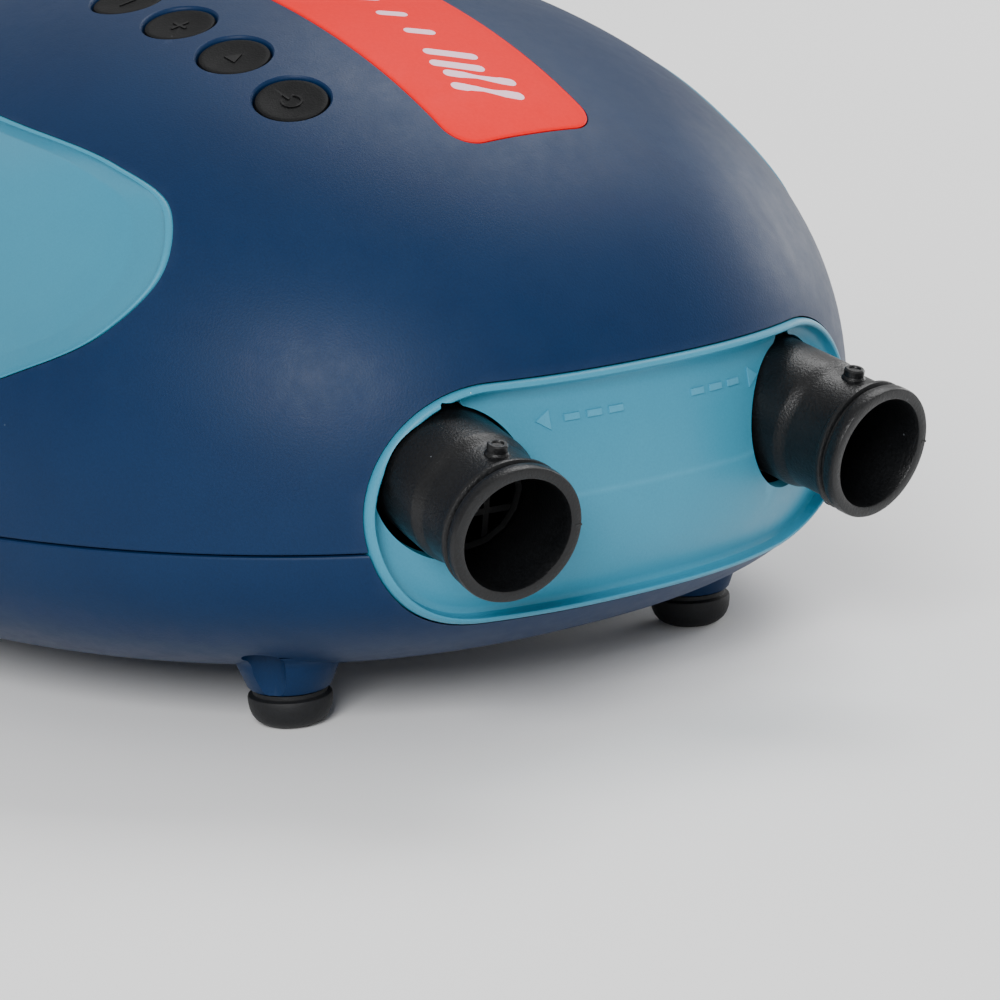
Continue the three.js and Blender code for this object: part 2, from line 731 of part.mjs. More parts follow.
// The pinion shows a gap to the crank gear's tooth at rest.
const pinionPhase = Math.PI + Math.PI / PINION_TEETH;
piece("motor_pinion", united([
  acrossPump(gear(PINION_TEETH, 0, gearFront - gearBack, 0), pinionPhase, [gearBack, MOTOR_Y, CRANK.z]),
  moved(rod(SHAFT_R, -32, gearBack + 1, 16), [0, MOTOR_Y, CRANK.z], FORWARD),
]), BRASS);

const bracketFront = BRACKET.x + BRACKET.thick / 2;
const bracketBack = BRACKET.x - BRACKET.thick / 2;
const FLANGE = { near: 27, far: 30.7 };
piece("compressor_bracket", without(
  united([
    block([bracketBack, -46, 15], [bracketFront, FLANGE.far, 58]),
    block([bracketBack, FLANGE.near, 18], [ROD_X + 16, FLANGE.far, 54]),
    block([bracketBack, -46, 14.4], [bracketFront + 16, -44, 58]),
  ]),
  moved(rod(3, 0, 60, 12), [0, CRANK.y, CRANK.z], FORWARD),
  moved(rod(5, 0, 60, 12), [0, MOTOR_Y, CRANK.z], FORWARD),
  moved(rod(9.2, 20, 40, 18), [ROD_X, 0, CRANK.z], LEFT),
), STEEL);

piece("compressor_motor", turned([
  [SHAFT_R + 0.4, 0],
  [5, 0],
  [5, 3],
  [MOTOR_R - 1.5, 3],
  [MOTOR_R, 4.5],
  [MOTOR_R, 50],
  [SHAFT_R + 0.4, 50],
], 16), STEEL, [bracketBack - GAP - 50, MOTOR_Y, CRANK.z], FORWARD);

// The crank pin stays in the rod's eye and ends just short of the gear's face.
const eyeY = CRANK.y + CRANK_RADIUS;
const wristY = eyeY + ROD_LENGTH;
const rodBack = ROD_X - 2;
const rodFront = ROD_X + 2;
piece("connecting_rod", without(
  united([
    moved(rod(4.6, rodBack, rodFront, 16), [0, eyeY, CRANK.z], FORWARD),
    moved(rod(4.2, rodBack, rodFront, 16), [0, wristY, CRANK.z], FORWARD),
    block([rodBack, eyeY + 3, CRANK.z - 2.6], [rodFront, wristY - 3, CRANK.z + 2.6]),
  ]),
  moved(rod(2.05 + GAP / 2, 0, 80, 10), [0, eyeY, CRANK.z], FORWARD),
  moved(rod(2.05 + GAP / 2, 0, 80, 10), [0, wristY, CRANK.z], FORWARD),
), ALUMINIUM);
piece("crank_pin", moved(rod(2, gearFront + GAP, rodFront + 1.5, 10), [0, eyeY, CRANK.z], FORWARD), STEEL);
piece("wrist_pin", moved(rod(2, ROD_X - 9, ROD_X + 9, 10), [0, wristY, CRANK.z], FORWARD), STEEL);

const pistonBack = wristY - 6;
const pistonCrown = wristY + 8;
piece("piston", without(
  moved(turned([
    [0, pistonBack],
    [PISTON_R, pistonBack],
    [PISTON_R, pistonCrown - 4],
    [PISTON_R - 1.2, pistonCrown - 4],
    [PISTON_R - 1.2, pistonCrown - 2],
    [PISTON_R, pistonCrown - 2],
    [PISTON_R, pistonCrown],
    [0, pistonCrown],
  ], 16), [ROD_X, 0, CRANK.z], LEFT),
  block([rodBack - 0.6, pistonBack - 1, CRANK.z - 8], [rodFront + 0.6, wristY + 5, CRANK.z + 8]),
  moved(rod(2.2, ROD_X - 12, ROD_X + 12, 12), [0, wristY, CRANK.z], FORWARD),
), ALUMINIUM);
piece("piston_ring", moved(
  tube(PISTON_R + 0.2, PISTON_R - 1.1, pistonCrown - 3.8, pistonCrown - 2.2, 16),
  [ROD_X, 0, CRANK.z],
  LEFT,
), BLACK);

const cylinderTop = pistonCrown + 1.2;
piece("cylinder", turned([
  [CYLINDER_R, FLANGE.far + GAP],
  [16, FLANGE.far + GAP],
  [16, FLANGE.far + 3],
  [13, FLANGE.far + 3.5],
  [13, cylinderTop - 14],
  [16, cylinderTop - 13.5],
  [16, cylinderTop - 11],
  [13, cylinderTop - 10.5],
  [13, cylinderTop - 3.5],
  [16, cylinderTop - 3],
  [16, cylinderTop],
  [CYLINDER_R, cylinderTop],
], 16), ALUMINIUM, [ROD_X, 0, CRANK.z], LEFT);
piece("valve_plate", without(
  rod(16, cylinderTop + GAP, cylinderTop + 1.8, 20),
  moved(rod(2, 0, 100, 8), [5, 0, 0]),
  moved(rod(2, 0, 100, 8), [-5, 0, 0]),
), STEEL, [ROD_X, 0, CRANK.z], LEFT);
const headBase = cylinderTop + 2.1;
piece("cylinder_head", without(
  united([
    rod(16, headBase, headBase + 9, 20),
    moved(rod(3.4, 10, 21, 10), [0, headBase + 5, 0], UP.clone().negate()),
  ]),
  rod(11, headBase - 1, headBase + 6, 16),
  moved(rod(1.6, 8, 30, 8), [0, headBase + 5, 0], UP.clone().negate()),
), ALUMINIUM, [ROD_X, 0, CRANK.z], LEFT);

// ---------------------------------------------------------------- ducts and valves

// The last stretch of a duct runs straight along the port's axis.
const toNozzle = (side) => [14, 6, DUCT_GAP].map((short) => portPoint(side, NOZZLE_LENGTH + short));
piece("deflate_duct", pipe([
  [blowerFront + 9 + DUCT_GAP, 0, BLOWER.z],
  [blowerFront + 14, 0, BLOWER.z],
  [blowerFront + 22, -2, BLOWER.z + 2],
  [0, -14, 72],
  [42, -30, 75],
  ...toNozzle(-1),
], DUCT_R, DUCT_BORE, 11, 6), BLACK);
piece("inflate_duct", pipe([
  [BLOWER.x, 38 + DUCT_GAP, BLOWER.z + 24],
  [BLOWER.x, 42, BLOWER.z + 24],
  [BLOWER.x + 5, 49, BLOWER.z + 24],
  [BLOWER.x + 16, 53, BLOWER.z + 23],
  [-15, 53, 80],
  [45, 47, 77],
  ...toNozzle(1),
], DUCT_R, DUCT_BORE, 12, 6), BLACK);
piece("pressure_tube", pipe([
  [ROD_X, headBase + 5, CRANK.z + 21.5],
  [ROD_X, headBase + 4, CRANK.z + 27],
  [ROD_X + 2, headBase - 2, CRANK.z + 33],
  [ROD_X + 4, 59.5, CRANK.z + 35],
], 2.6, 1.5, 6, 4), RUBBER);

// Flap that stops air running back from the inflate port, hung at the top of the bore.
const FLAP = { back: 36, radius: 8.3, thick: 1.2 };
placePort(piece("check_flap", rod(FLAP.radius, -FLAP.back, -FLAP.back + FLAP.thick, 20), RUBBER), 1);
const GRILLE = { back: 15, bar: 1.1 };
const GRILLE_SPAN = BORE_R * 2 - 2.2;
placePort(piece("intake_grille", united([
  tube(BORE_R - 0.3, BORE_R - 1.5, -GRILLE.back - 2, -GRILLE.back, 16),
  ...[-3, 3].map((v) => solid(
    new THREE.BoxGeometry(GRILLE_SPAN, 1.6, GRILLE.bar).translate(0, -GRILLE.back - 1, v),
  )),
  ...[-3, 3].map((v) => solid(
    new THREE.BoxGeometry(GRILLE.bar, 1.6, GRILLE_SPAN).translate(v, -GRILLE.back - 1, 0),
  )),
]), BLACK), -1);

// ---------------------------------------------------------------- electronics

const DISPLAY_X = (WINDOW.front + WINDOW.rear) / 2;
const displayTop = domePoint(WINDOW.rear, WINDOW.halfWidth)[2] - 3;
piece("lcd_module", block([DISPLAY_X - 27, -17, displayTop - 6], [DISPLAY_X + 27, 17, displayTop - 1]), GREY);
piece("control_board", block(
  [DISPLAY_X - 32, -26, displayTop - 8],
  [DISPLAY_X + 32, 26, displayTop - 6.4],
), BOARD);
piece("pressure_sensor", united([
  block([DISPLAY_X + 12, 4, displayTop - 14], [DISPLAY_X + 22, 14, displayTop - 8.3]),
  moved(rod(2, 0, 8, 12), [DISPLAY_X + 17, 9, displayTop - 21], UP),
]), BLACK);
piece("power_board", block([-32, 46, 16], [12, 76, 17.6]), BOARD);
piece("power_inlet", turned([
  [0, 0],
  [INLET.radius - 1.2, 0],
  [INLET.radius - 1.2, 12],
  [INLET.radius, 12],
  [INLET.radius, 18],
  [INLET.bore, 18],
  [INLET.bore, 6],
  [1.1, 6],
  [1.1, 14],
  [0, 14],
], 16), BLACK, [18.5 - HALF_LENGTH, 0, INLET.z], FORWARD.clone().negate());

// ---------------------------------------------------------------- origin

// The origin is under the middle of the whole pump, nozzles included.
const bounds = new THREE.Box3().setFromObject(pump, true);
pump.position.x = -(bounds.min.x + bounds.max.x) / 2;

export default pump;
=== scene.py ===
import math

import bmesh
import bpy
import numpy as np
from mathutils import Matrix, Vector


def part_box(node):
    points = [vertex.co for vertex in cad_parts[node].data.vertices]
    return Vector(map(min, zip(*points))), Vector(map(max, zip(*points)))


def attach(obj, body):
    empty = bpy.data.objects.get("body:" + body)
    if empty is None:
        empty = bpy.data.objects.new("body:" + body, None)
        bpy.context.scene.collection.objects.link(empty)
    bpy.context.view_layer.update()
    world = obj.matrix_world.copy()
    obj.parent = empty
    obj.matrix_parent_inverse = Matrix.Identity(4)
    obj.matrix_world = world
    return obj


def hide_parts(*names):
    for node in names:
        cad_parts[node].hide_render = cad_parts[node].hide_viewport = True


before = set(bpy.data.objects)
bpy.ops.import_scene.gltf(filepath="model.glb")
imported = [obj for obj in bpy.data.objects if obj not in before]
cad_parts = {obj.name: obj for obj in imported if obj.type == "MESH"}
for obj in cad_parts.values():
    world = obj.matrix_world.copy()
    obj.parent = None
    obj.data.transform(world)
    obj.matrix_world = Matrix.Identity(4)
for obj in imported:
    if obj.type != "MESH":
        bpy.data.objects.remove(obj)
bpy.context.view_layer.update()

# ==== HOUSING ==============================================================
# Two thin shells of navy ABS, moulded with a fine satin grain and screwed
# together from below. They meet at a level line round the belly, and the
# lower one carries four short conical legs for the rubber feet.
MM = 0.001
HALF_LENGTH, HALF_WIDTH = 156.5, 99.0
WAIST_Z, DOME_HEIGHT, BELLY_HEIGHT, BASE_Z = 44.3, 80.5, 43.0, 10.3
PLAN_POWER, DOME_POWER, BELLY_POWER = 2.33, 2.17, 2.9
PARTING_Z, PARTING_GAP, EDGE_RADIUS = 37.0, 0.3, 0.45
WALL = 2.6
SIDES, DOME_RINGS, BELLY_RINGS = 176, 54, 22
FIT_GAP = 0.3

front_foot, rear_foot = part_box("foot_cap_front_left"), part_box("foot_cap_rear_left")
FOOT_Y = (front_foot[0].y + front_foot[1].y) / 2 / MM
FOOT_X = ((front_foot[0].x + front_foot[1].x) - (rear_foot[0].x + rear_foot[1].x)) / 4 / MM
middle_x = ((front_foot[0].x + front_foot[1].x) + (rear_foot[0].x + rear_foot[1].x)) / 4 / MM
FOOT_SPOTS = {
    "front_left": (FOOT_X, FOOT_Y),
    "front_right": (FOOT_X, -FOOT_Y),
    "rear_left": (-FOOT_X, FOOT_Y),
    "rear_right": (-FOOT_X, -FOOT_Y),
}


def signed_power(value, power):
    return math.copysign(abs(value) ** power, value)


def plan_reach(x, y):
    """How far out (x, y) lies in plan: 0 at the middle, 1 at the housing's widest outline."""
    spread = abs(x / HALF_LENGTH) ** PLAN_POWER + abs(y / HALF_WIDTH) ** PLAN_POWER
    return spread ** (1 / PLAN_POWER)


def dome_height(x, y):
    reach = min(plan_reach(x, y), 1.0)
    return WAIST_Z + DOME_HEIGHT * (1 - reach**DOME_POWER) ** (1 / DOME_POWER)


def level_scale(z):
    """The size of the level outline at height z against the widest one."""
    tall, power = (DOME_HEIGHT, DOME_POWER) if z > WAIST_Z else (BELLY_HEIGHT, BELLY_POWER)
    return max(1 - abs((z - WAIST_Z) / tall) ** power, 0.0) ** (1 / power)


def flank_y(x, z):
    """Half the housing's width at (x, z)."""
    left = level_scale(z) ** PLAN_POWER - abs(x / HALF_LENGTH) ** PLAN_POWER
    return HALF_WIDTH * max(left, 0.0) ** (1 / PLAN_POWER)


def nose_x(y, z):
    """How far forward the housing reaches at (y, z)."""
    left = level_scale(z) ** PLAN_POWER - abs(y / HALF_WIDTH) ** PLAN_POWER
    return HALF_LENGTH * max(left, 0.0) ** (1 / PLAN_POWER)


def form_normal(x, y, z):
    tall, power = (DOME_HEIGHT, DOME_POWER) if z > WAIST_Z else (BELLY_HEIGHT, BELLY_POWER)
    reach = max(plan_reach(x, y), 1e-6)
    spread = reach ** (power - PLAN_POWER)
    return Vector((
        spread * signed_power(x / HALF_LENGTH, PLAN_POWER - 1) / HALF_LENGTH,
        spread * signed_power(y / HALF_WIDTH, PLAN_POWER - 1) / HALF_WIDTH,
        signed_power((z - WAIST_Z) / tall, power - 1) / tall,
    )).normalized()


def form_depth(x, y, z):
    """Roughly how far below the housing's outer surface a point lies, in millimetres."""
    tall, power = (DOME_HEIGHT, DOME_POWER) if z > WAIST_Z else (BELLY_HEIGHT, BELLY_POWER)
    size = (plan_reach(x, y) ** power + abs((z - WAIST_Z) / tall) ** power) ** (1 / power)
    return (1 - size) * Vector((x, y, z - WAIST_Z)).dot(form_normal(x, y, z))


def level_ring(z, inset=0.0, thin=0.0):
    """The housing's outline at height z, drawn in by inset; thin shrinks the whole form first."""
    tall, power = (DOME_HEIGHT, DOME_POWER) if z > WAIST_Z else (BELLY_HEIGHT, BELLY_POWER)
    scale = max(1 - abs((z - WAIST_Z) / (tall - thin)) ** power, 0.0) ** (1 / power)
    ring = []
    for side in range(SIDES):
        turn = side / SIDES * math.tau
        x = ((HALF_LENGTH - thin) * scale - inset) * signed_power(math.cos(turn), 2 / PLAN_POWER)
        y = ((HALF_WIDTH - thin) * scale - inset) * signed_power(math.sin(turn), 2 / PLAN_POWER)
        ring.append((x, y, z))
    return ring


def dome_levels(first_z, thin=0.0):
    """Heights from first_z up to just under the crown, closer together near the crown's flat top."""
    tall = DOME_HEIGHT - thin
    steps = [k / DOME_RINGS * math.pi / 2 for k in range(DOME_RINGS)]
    levels = [WAIST_Z + tall * math.sin(step) ** (2 / DOME_POWER) for step in steps]
    below = np.linspace(first_z, WAIST_Z, 6)[:-1] if first_z < WAIST_Z else []
    return [*below, *levels]


def new_piece(name, points, faces, about=None):
    """A mesh object from points in millimetres; about places a piece drawn round its own axis."""
    mesh = bpy.data.meshes.new(name)
    place = about if about is not None else Matrix.Identity(4)
    placed = [place @ Vector(p) for p in points]
    mesh.from_pydata([((p.x + middle_x) * MM, p.y * MM, p.z * MM) for p in placed], [], faces)
    mesh.validate()
    piece = bpy.data.objects.new(name, mesh)
    bpy.context.scene.collection.objects.link(piece)
    return piece


def stack_faces(ring_count, sides):
    """Quads between rings of equal length."""
    faces = []
    for ring in range(ring_count - 1):
        for side in range(sides):
            a, b = ring * sides + side, ring * sides + (side + 1) % sides
            faces.append((a, b, b + sides, a + sides))
    return faces


def ring_stack(name, rings, start=None, end=None, loop=False, about=None):
    """A closed skin over rings of points: start and end are the points of the two end fans."""
    sides = len(rings[0])
    points = [p for ring in rings for p in ring]
    faces = stack_faces(len(rings), sides)
    last = (len(rings) - 1) * sides
    if loop:
        for side in range(sides):
            following = (side + 1) % sides
            faces.append((last + side, last + following, following, side))
    if start is not None:
        points.append(start)
        faces += [(len(points) - 1, (k + 1) % sides, k) for k in range(sides)]
    if end is not None:
        points.append(end)
        faces += [(len(points) - 1, last + k, last + (k + 1) % sides) for k in range(sides)]
    piece = new_piece(name, points, faces, about)
    face_outward(piece)
    return piece


def face_outward(piece):
    shape = bmesh.new()
    shape.from_mesh(piece.data)
    bmesh.ops.remove_doubles(shape, verts=shape.verts, dist=2e-6)
    bmesh.ops.recalc_face_normals(shape, faces=shape.faces)
    shape.to_mesh(piece.data)
    shape.free()


def turned(name, profile, sides=72, about=None):
    """A lathe-turned skin about local Z from (radius, height) points; a radius of 0 closes an end."""
    rings, ends = [], [None, None]
    for place, (radius, height) in enumerate(profile):
        if radius < 1e-6:
            ends[0 if place == 0 else 1] = (0.0, 0.0, height)
            continue
        rings.append([
            (radius * math.cos(k / sides * math.tau), radius * math.sin(k / sides * math.tau), height)
            for k in range(sides)
        ])
    return ring_stack(name, rings, ends[0], ends[1], loop=ends == [None, None], about=about)


def pointing(at, along, upright=(0, 0, 1)):
    """A placement whose local Z runs along a direction, with local Y as near upright as it can be."""
    z = Vector(along).normalized()
    x = Vector(upright).cross(z)
    x = x.normalized() if x.length > 1e-6 else Vector((1, 0, 0))
    y = z.cross(x)
    turn = Matrix((x, y, z)).transposed().to_4x4()
    return Matrix.Translation(Vector(at)) @ turn


def joined(name, pieces):
    shape = bmesh.new()
    for piece in pieces:
        shape.from_mesh(piece.data)
    mesh = bpy.data.meshes.new(name)
    shape.to_mesh(mesh)
    shape.free()
    made = bpy.data.objects.new(name, mesh)
    bpy.context.scene.collection.objects.link(made)
    for piece in pieces:
        bpy.data.objects.remove(piece)
    return made


def combine(piece, tool, operation):
    """Cuts the tool away from the piece, or welds it on, and uses the tool up."""
    change = piece.modifiers.new(operation, "BOOLEAN")
    change.operation, change.object, change.solver = operation, tool, "EXACT"
    graph = bpy.context.evaluated_depsgraph_get()
    mesh = bpy.data.meshes.new_from_object(piece.evaluated_get(graph))
    piece.modifiers.clear()
    piece.data = mesh
    bpy.data.objects.remove(tool)


def soft_shade(piece, degrees=32, outer_form=False):
    """Smooth shading with creases above an angle. Outer faces of the housing take the form's own normal."""
    shape = bmesh.new()
    shape.from_mesh(piece.data)
    for edge in shape.edges:
        edge.smooth = len(edge.link_faces) == 2 and edge.calc_face_angle(0) < math.radians(degrees)
    for face in shape.faces:
        face.smooth = True
    shape.to_mesh(piece.data)
    shape.free()
    if not outer_form:
        return
    mesh = piece.data
    spots = [Vector((v.co.x / MM - middle_x, v.co.y / MM, v.co.z / MM)) for v in mesh.vertices]
    depth = [abs(form_depth(*spot)) < 0.06 for spot in spots]
    normals = [(0.0, 0.0, 0.0)] * len(mesh.loops)
    for face in mesh.polygons:
        if not all(depth[v] for v in face.vertices):
            continue
        for loop in face.loop_indices:
            normal = form_normal(*spots[mesh.loops[loop].vertex_index])
            if normal.dot(face.normal) > 0.85:
                normals[loop] = tuple(normal)
    mesh.normals_split_custom_set(normals)


# Openings: every outline here is the edge of the part that fills it, and the hole is cut a gap larger.
PANEL_HALF_WIDTH, PANEL_HALF_HEIGHT, PANEL_Y, PANEL_Z = 53.4, 20.5, 3.3, 42.4


def panel_outline(grow):
    """The port panel's stadium as (y, z) points."""
    radius = PANEL_HALF_HEIGHT + grow
    straight = PANEL_HALF_WIDTH - PANEL_HALF_HEIGHT
    along = [straight * (1 - 2 * k / 38) for k in range(38)]
    around = [math.pi * k / 42 for k in range(42)]
    top = [(y, PANEL_Z + radius) for y in along]
    right = [(-straight - radius * math.sin(a), PANEL_Z + radius * math.cos(a)) for a in around]
    bottom = [(-y, PANEL_Z - radius) for y in along]
    left = [(straight + radius * math.sin(a), PANEL_Z - radius * math.cos(a)) for a in around]
    return [(y + PANEL_Y, z) for y, z in (*top, *right, *bottom, *left)]


GRIP_CENTRE = (12.0, 79.0)
GRIP_KNOTS = [
    (108.7, 80.5), (103.5, 90.0), (89.0, 96.4), (64.0, 101.6), (25.0, 106.5), (-25.0, 105.0), (-66.0, 96.5),
    (-86.0, 80.0), (-74.0, 62.5), (-36.0, 53.0), (15.0, 50.5), (60.0, 55.4), (90.0, 64.8), (104.0, 72.0),
]


def smooth_loop(knots, steps):
    """A closed centripetal spline through the knots."""
    knots = [Vector(k) for k in knots]
    count, points = len(knots), []
    for k in range(count):
        p0, p1, p2, p3 = (knots[(k + j - 1) % count] for j in range(4))
        t0, t1 = 0.0, (p1 - p0).length ** 0.5
        t2 = t1 + (p2 - p1).length ** 0.5
        t3 = t2 + (p3 - p2).length ** 0.5
        for step in range(steps):
            t = t1 + (t2 - t1) * step / steps
            a1 = p0 * ((t1 - t) / (t1 - t0)) + p1 * ((t - t0) / (t1 - t0))
            a2 = p1 * ((t2 - t) / (t2 - t1)) + p2 * ((t - t1) / (t2 - t1))
            a3 = p2 * ((t3 - t) / (t3 - t2)) + p3 * ((t - t2) / (t3 - t2))
            b1 = a1 * ((t2 - t) / (t2 - t0)) + a2 * ((t - t0) / (t2 - t0))
            b2 = a2 * ((t3 - t) / (t3 - t1)) + a3 * ((t - t1) / (t3 - t1))
            points.append(b1 * ((t2 - t) / (t2 - t1)) + b2 * ((t - t1) / (t2 - t1)))
    return points


grip_edge = smooth_loop(GRIP_KNOTS, 12)


def grip_loop(grow, inward=0.0):
    """The finger recess's edge as (x, z), moved out by grow and then a share of the way to its middle."""
    middle = Vector(GRIP_CENTRE)
    loop = []
    for knot in grip_edge:
        out = knot - middle
        loop.append(middle + out * ((out.length + grow) / out.length) * (1 - inward))
    return loop


CORNER_STEPS, LONG_SIDE_STEPS, END_STEPS = 9, 24, 8


def top_outline(front, rear, half_width, corner, grow=0.0):
    """A rounded rectangle on the dome as (x, y) points, with its long sides divided."""
    front, rear, half_width, corner = front + grow, rear - grow, half_width + grow, corner + grow
    corners = [
        (front - corner, half_width - corner, 0), (rear + corner, half_width - corner, 90),
        (rear + corner, -half_width + corner, 180), (front - corner, -half_width + corner, 270),
    ]
    points = []
    for place, (cx, cy, first) in enumerate(corners):
        for k in range(CORNER_STEPS + 1):
            a = math.radians(first + 90 * k / CORNER_STEPS)
            points.append((cx + corner * math.cos(a), cy + corner * math.sin(a)))
        nx, ny, following = corners[(place + 1) % 4]
        a = math.radians(following)
        end = (nx + corner * math.cos(a), ny + corner * math.sin(a))
        here = points[-1]
        count = LONG_SIDE_STEPS if place % 2 == 0 else END_STEPS
        points += [(here[0] + (end[0] - here[0]) * k / count, here[1] + (end[1] - here[1]) * k / count)
                   for k in range(1, count)]
    return points


def on_dome(x, y, lift=0.0):
    spot = Vector((x, y, dome_height(x, y)))
    return tuple(spot + form_normal(*spot) * lift)


def dome_slab(name, outline, levels, spine):
    """A slab that follows the dome. Levels are (draw-in, lift) pairs from its underside over its edge to the
    top; spine is the half length and middle of the line its loops close on."""
    half, middle, cross = spine
    rings = []
    for draw_in, lift in levels:
        ring = []
        for x, y in outline:
            anchor = Vector((max(min(x - middle, half), -half) + middle, cross))
            out = Vector((x, y)) - anchor
            spot = anchor + out * (1 - draw_in)
            ring.append(on_dome(spot.x, spot.y, lift))
        rings.append(ring)
    return ring_stack(name, rings)


BADGE = {"front": 123.2, "rear": 31.0, "half_width": 14.6, "corner": 5.0}
WINDOW = {"front": 22.0, "rear": -44.0, "half_width": 23.0, "corner": 7.0}
BUTTON_Y, BUTTON_FIRST_X, BUTTON_PITCH, BUTTON_R = -32.3, 100.0, 17.2, 6.3
BUTTONS = ["power", "mode", "plus", "minus", "unit"]
button_spots = {}
for place, button in enumerate(BUTTONS):
    spot = Vector(on_dome(BUTTON_FIRST_X - place * BUTTON_PITCH, BUTTON_Y))
    button_spots[button] = (spot, form_normal(*spot))


def spine_of(area):
    half = (area["front"] - area["rear"]) / 2 - area["half_width"]
    return max(half, 0.5), (area["front"] + area["rear"]) / 2, 0.0


def prism(name, outline, axis, low, high):
    """A closed prism along one axis from a loop of points in the other two."""
    rings = [[{"x": (run, p[0], p[1]), "y": (p[0], run, p[1])}[axis] for p in outline] for run in (low, high)]
    middle = [sum(p[i] for p in outline) / len(outline) for i in (0, 1)]
    ends = [{"x": (run, *middle), "y": (middle[0], run, middle[1])}[axis] for run in (low, high)]
    return ring_stack(name, rings, ends[0], ends[1])


PORT_SPACING, PORT_X, PORT_Z = 76.0, 166.8, 42.4
PORT_TILT, PORT_SPLAY = math.radians(13.3), math.radians(6.5)
PORT_HOLE_R, PORT_HOLE_DROP = 12.5, 0.6


def port_direction(side):
    level = math.cos(PORT_TILT)
    return Vector((level * math.cos(PORT_SPLAY), side * level * math.sin(PORT_SPLAY), -math.sin(PORT_TILT)))


def port_point(side, back):
    return Vector((PORT_X, side * PORT_SPACING / 2, PORT_Z)) - port_direction(side) * back


SLOT_COUNT, SLOT_PITCH, SLOT_WIDTH, SLOT_LOW, SLOT_HIGH = 7, 9.0, 3.4, 56.0, 78.0
INLET_Z, INLET_R = 48.0, 6.5
PANEL_CUT, SLOT_CUT, GRIP_CUT = (95.0, 190.0), (-170.0, -112.0), (44.0, 118.0)
INLET_CUT_START, INLET_CUT_DEPTH = -170.0, 50.0
BADGE_GAP, BADGE_POCKET = 0.22, 1.4
WINDOW_GAP, WINDOW_HOLE = 0.25, 6.0
BUTTON_HOLE = 8.0

inlet_hole_r = INLET_R + FIT_GAP
cuts = [
    prism("cut", panel_outline(FIT_GAP), "x", *PANEL_CUT),
    turned("cut", [(0, 0), (inlet_hole_r, 0), (inlet_hole_r, INLET_CUT_DEPTH), (0, INLET_CUT_DEPTH)], 48,
           pointing((INLET_CUT_START, 0, INLET_Z), (1, 0, 0))),
]
for side in (-1, 1):
    low, high = sorted(side * reach for reach in GRIP_CUT)
    cuts.append(prism("cut", [tuple(p) for p in grip_loop(FIT_GAP)], "y", low, high))
for spot, normal in button_spots.values():
    rim = BUTTON_R + FIT_GAP
    cuts.append(turned("cut", [
        (0, -BUTTON_HOLE), (rim, -BUTTON_HOLE), (rim, -0.75), (rim + 0.12, -0.45), (rim + 0.4, -0.2),
        (rim + 0.85, -0.02), (rim + 1.3, 0.35), (rim + 1.3, 4), (0, 4),
    ], 64, pointing(spot, normal)))
for place in range(SLOT_COUNT):
    y = (place - (SLOT_COUNT - 1) / 2) * SLOT_PITCH
    half = SLOT_WIDTH / 2
    arc = [math.pi * k / 8 for k in range(9)]
    outline = [(y + half * math.cos(a), SLOT_HIGH - half + half * math.sin(a)) for a in arc]
    outline += [(y - half * math.cos(a), SLOT_LOW + half - half * math.sin(a)) for a in arc]
    cuts.append(prism("cut", outline, "x", *SLOT_CUT))
for area, gap, depth in ((BADGE, BADGE_GAP, BADGE_POCKET), (WINDOW, WINDOW_GAP, WINDOW_HOLE)):
    levels = [(1, -depth), (0, -depth), (0, 3), (1, 3)]
    cuts.append(dome_slab("cut", top_outline(**area, grow=gap), levels, spine_of(area)))

edge = PARTING_Z + PARTING_GAP / 2
rolled = [(edge, EDGE_RADIUS), (edge + 0.12, 0.16), (edge + EDGE_RADIUS, 0.0)]
outer = [level_ring(z, inset) for z, inset in rolled] + [level_ring(z) for z in dome_levels(edge + 1.2)]
inner = [level_ring(z, thin=WALL) for z in dome_levels(edge, WALL)]
crown = WAIST_Z + DOME_HEIGHT
upper = ring_stack("upper_housing", inner[::-1] + outer, (0, 0, crown - WALL), (0, 0, crown))
combine(upper, joined("cuts", cuts), "DIFFERENCE")
soft_shade(upper, outer_form=True)
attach(upper, "pump_body")
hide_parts("upper_shell")

STUB_TOP_R, STUB_R, STUB_Z = 9.0, 7.3, 6.6
SCREW_SPOTS = {
    "front_left": (113.0, 53.0), "front_right": (113.0, -53.0), "rear_left": (-112.0, 64.0),
    "rear_right": (-112.0, -64.0), "tail_left": (-133.0, 18.0), "tail_right": (-133.0, -18.0),
}
edge = PARTING_Z - PARTING_GAP / 2
bands = [BASE_Z + (edge - 1.2 - BASE_Z) * (k / BELLY_RINGS) ** 1.3 for k in range(1, BELLY_RINGS + 1)]
rolled = [(edge - EDGE_RADIUS, 0.0), (edge - 0.12, 0.16), (edge, EDGE_RADIUS)]
outer = [level_ring(BASE_Z, inset) for inset in (60, 30, 8, 1.2, 0)] + [level_ring(z) for z in bands]
outer += [level_ring(z, inset) for z, inset in rolled]
inner = [level_ring(z, thin=WALL) for z in np.linspace(edge, BASE_Z + WALL, 12)]
lower = ring_stack("lower_housing", outer + inner, (0, 0, BASE_Z), (0, 0, BASE_Z + WALL))
stubs = []
for x, y in FOOT_SPOTS.values():
    flare = [(STUB_TOP_R + 3.6 * (k / 7) ** 2.2, 11.2 + 3.6 * k / 7) for k in range(8)]
    stubs.append(turned("stub", [
        (0, STUB_Z), (STUB_R - 0.4, STUB_Z), (STUB_R, STUB_Z + 0.4), (STUB_TOP_R - 0.3, 10.4), *flare,
        (0, 14.8),
    ], 64, pointing((x, y, 0), (0, 0, 1))))
combine(lower, joined("stubs", stubs), "UNION")
SCREW_POCKET = [(0, 2), (4.3, 2), (4.1, 10), (3.6, 14), (3.6, 25.3), (0, 25.3)]
FOOT_BORE = [(0, 2), (3.3, 2), (3.3, 15.2), (0, 15.2)]
cuts = [prism("cut", panel_outline(FIT_GAP), "x", *PANEL_CUT)]
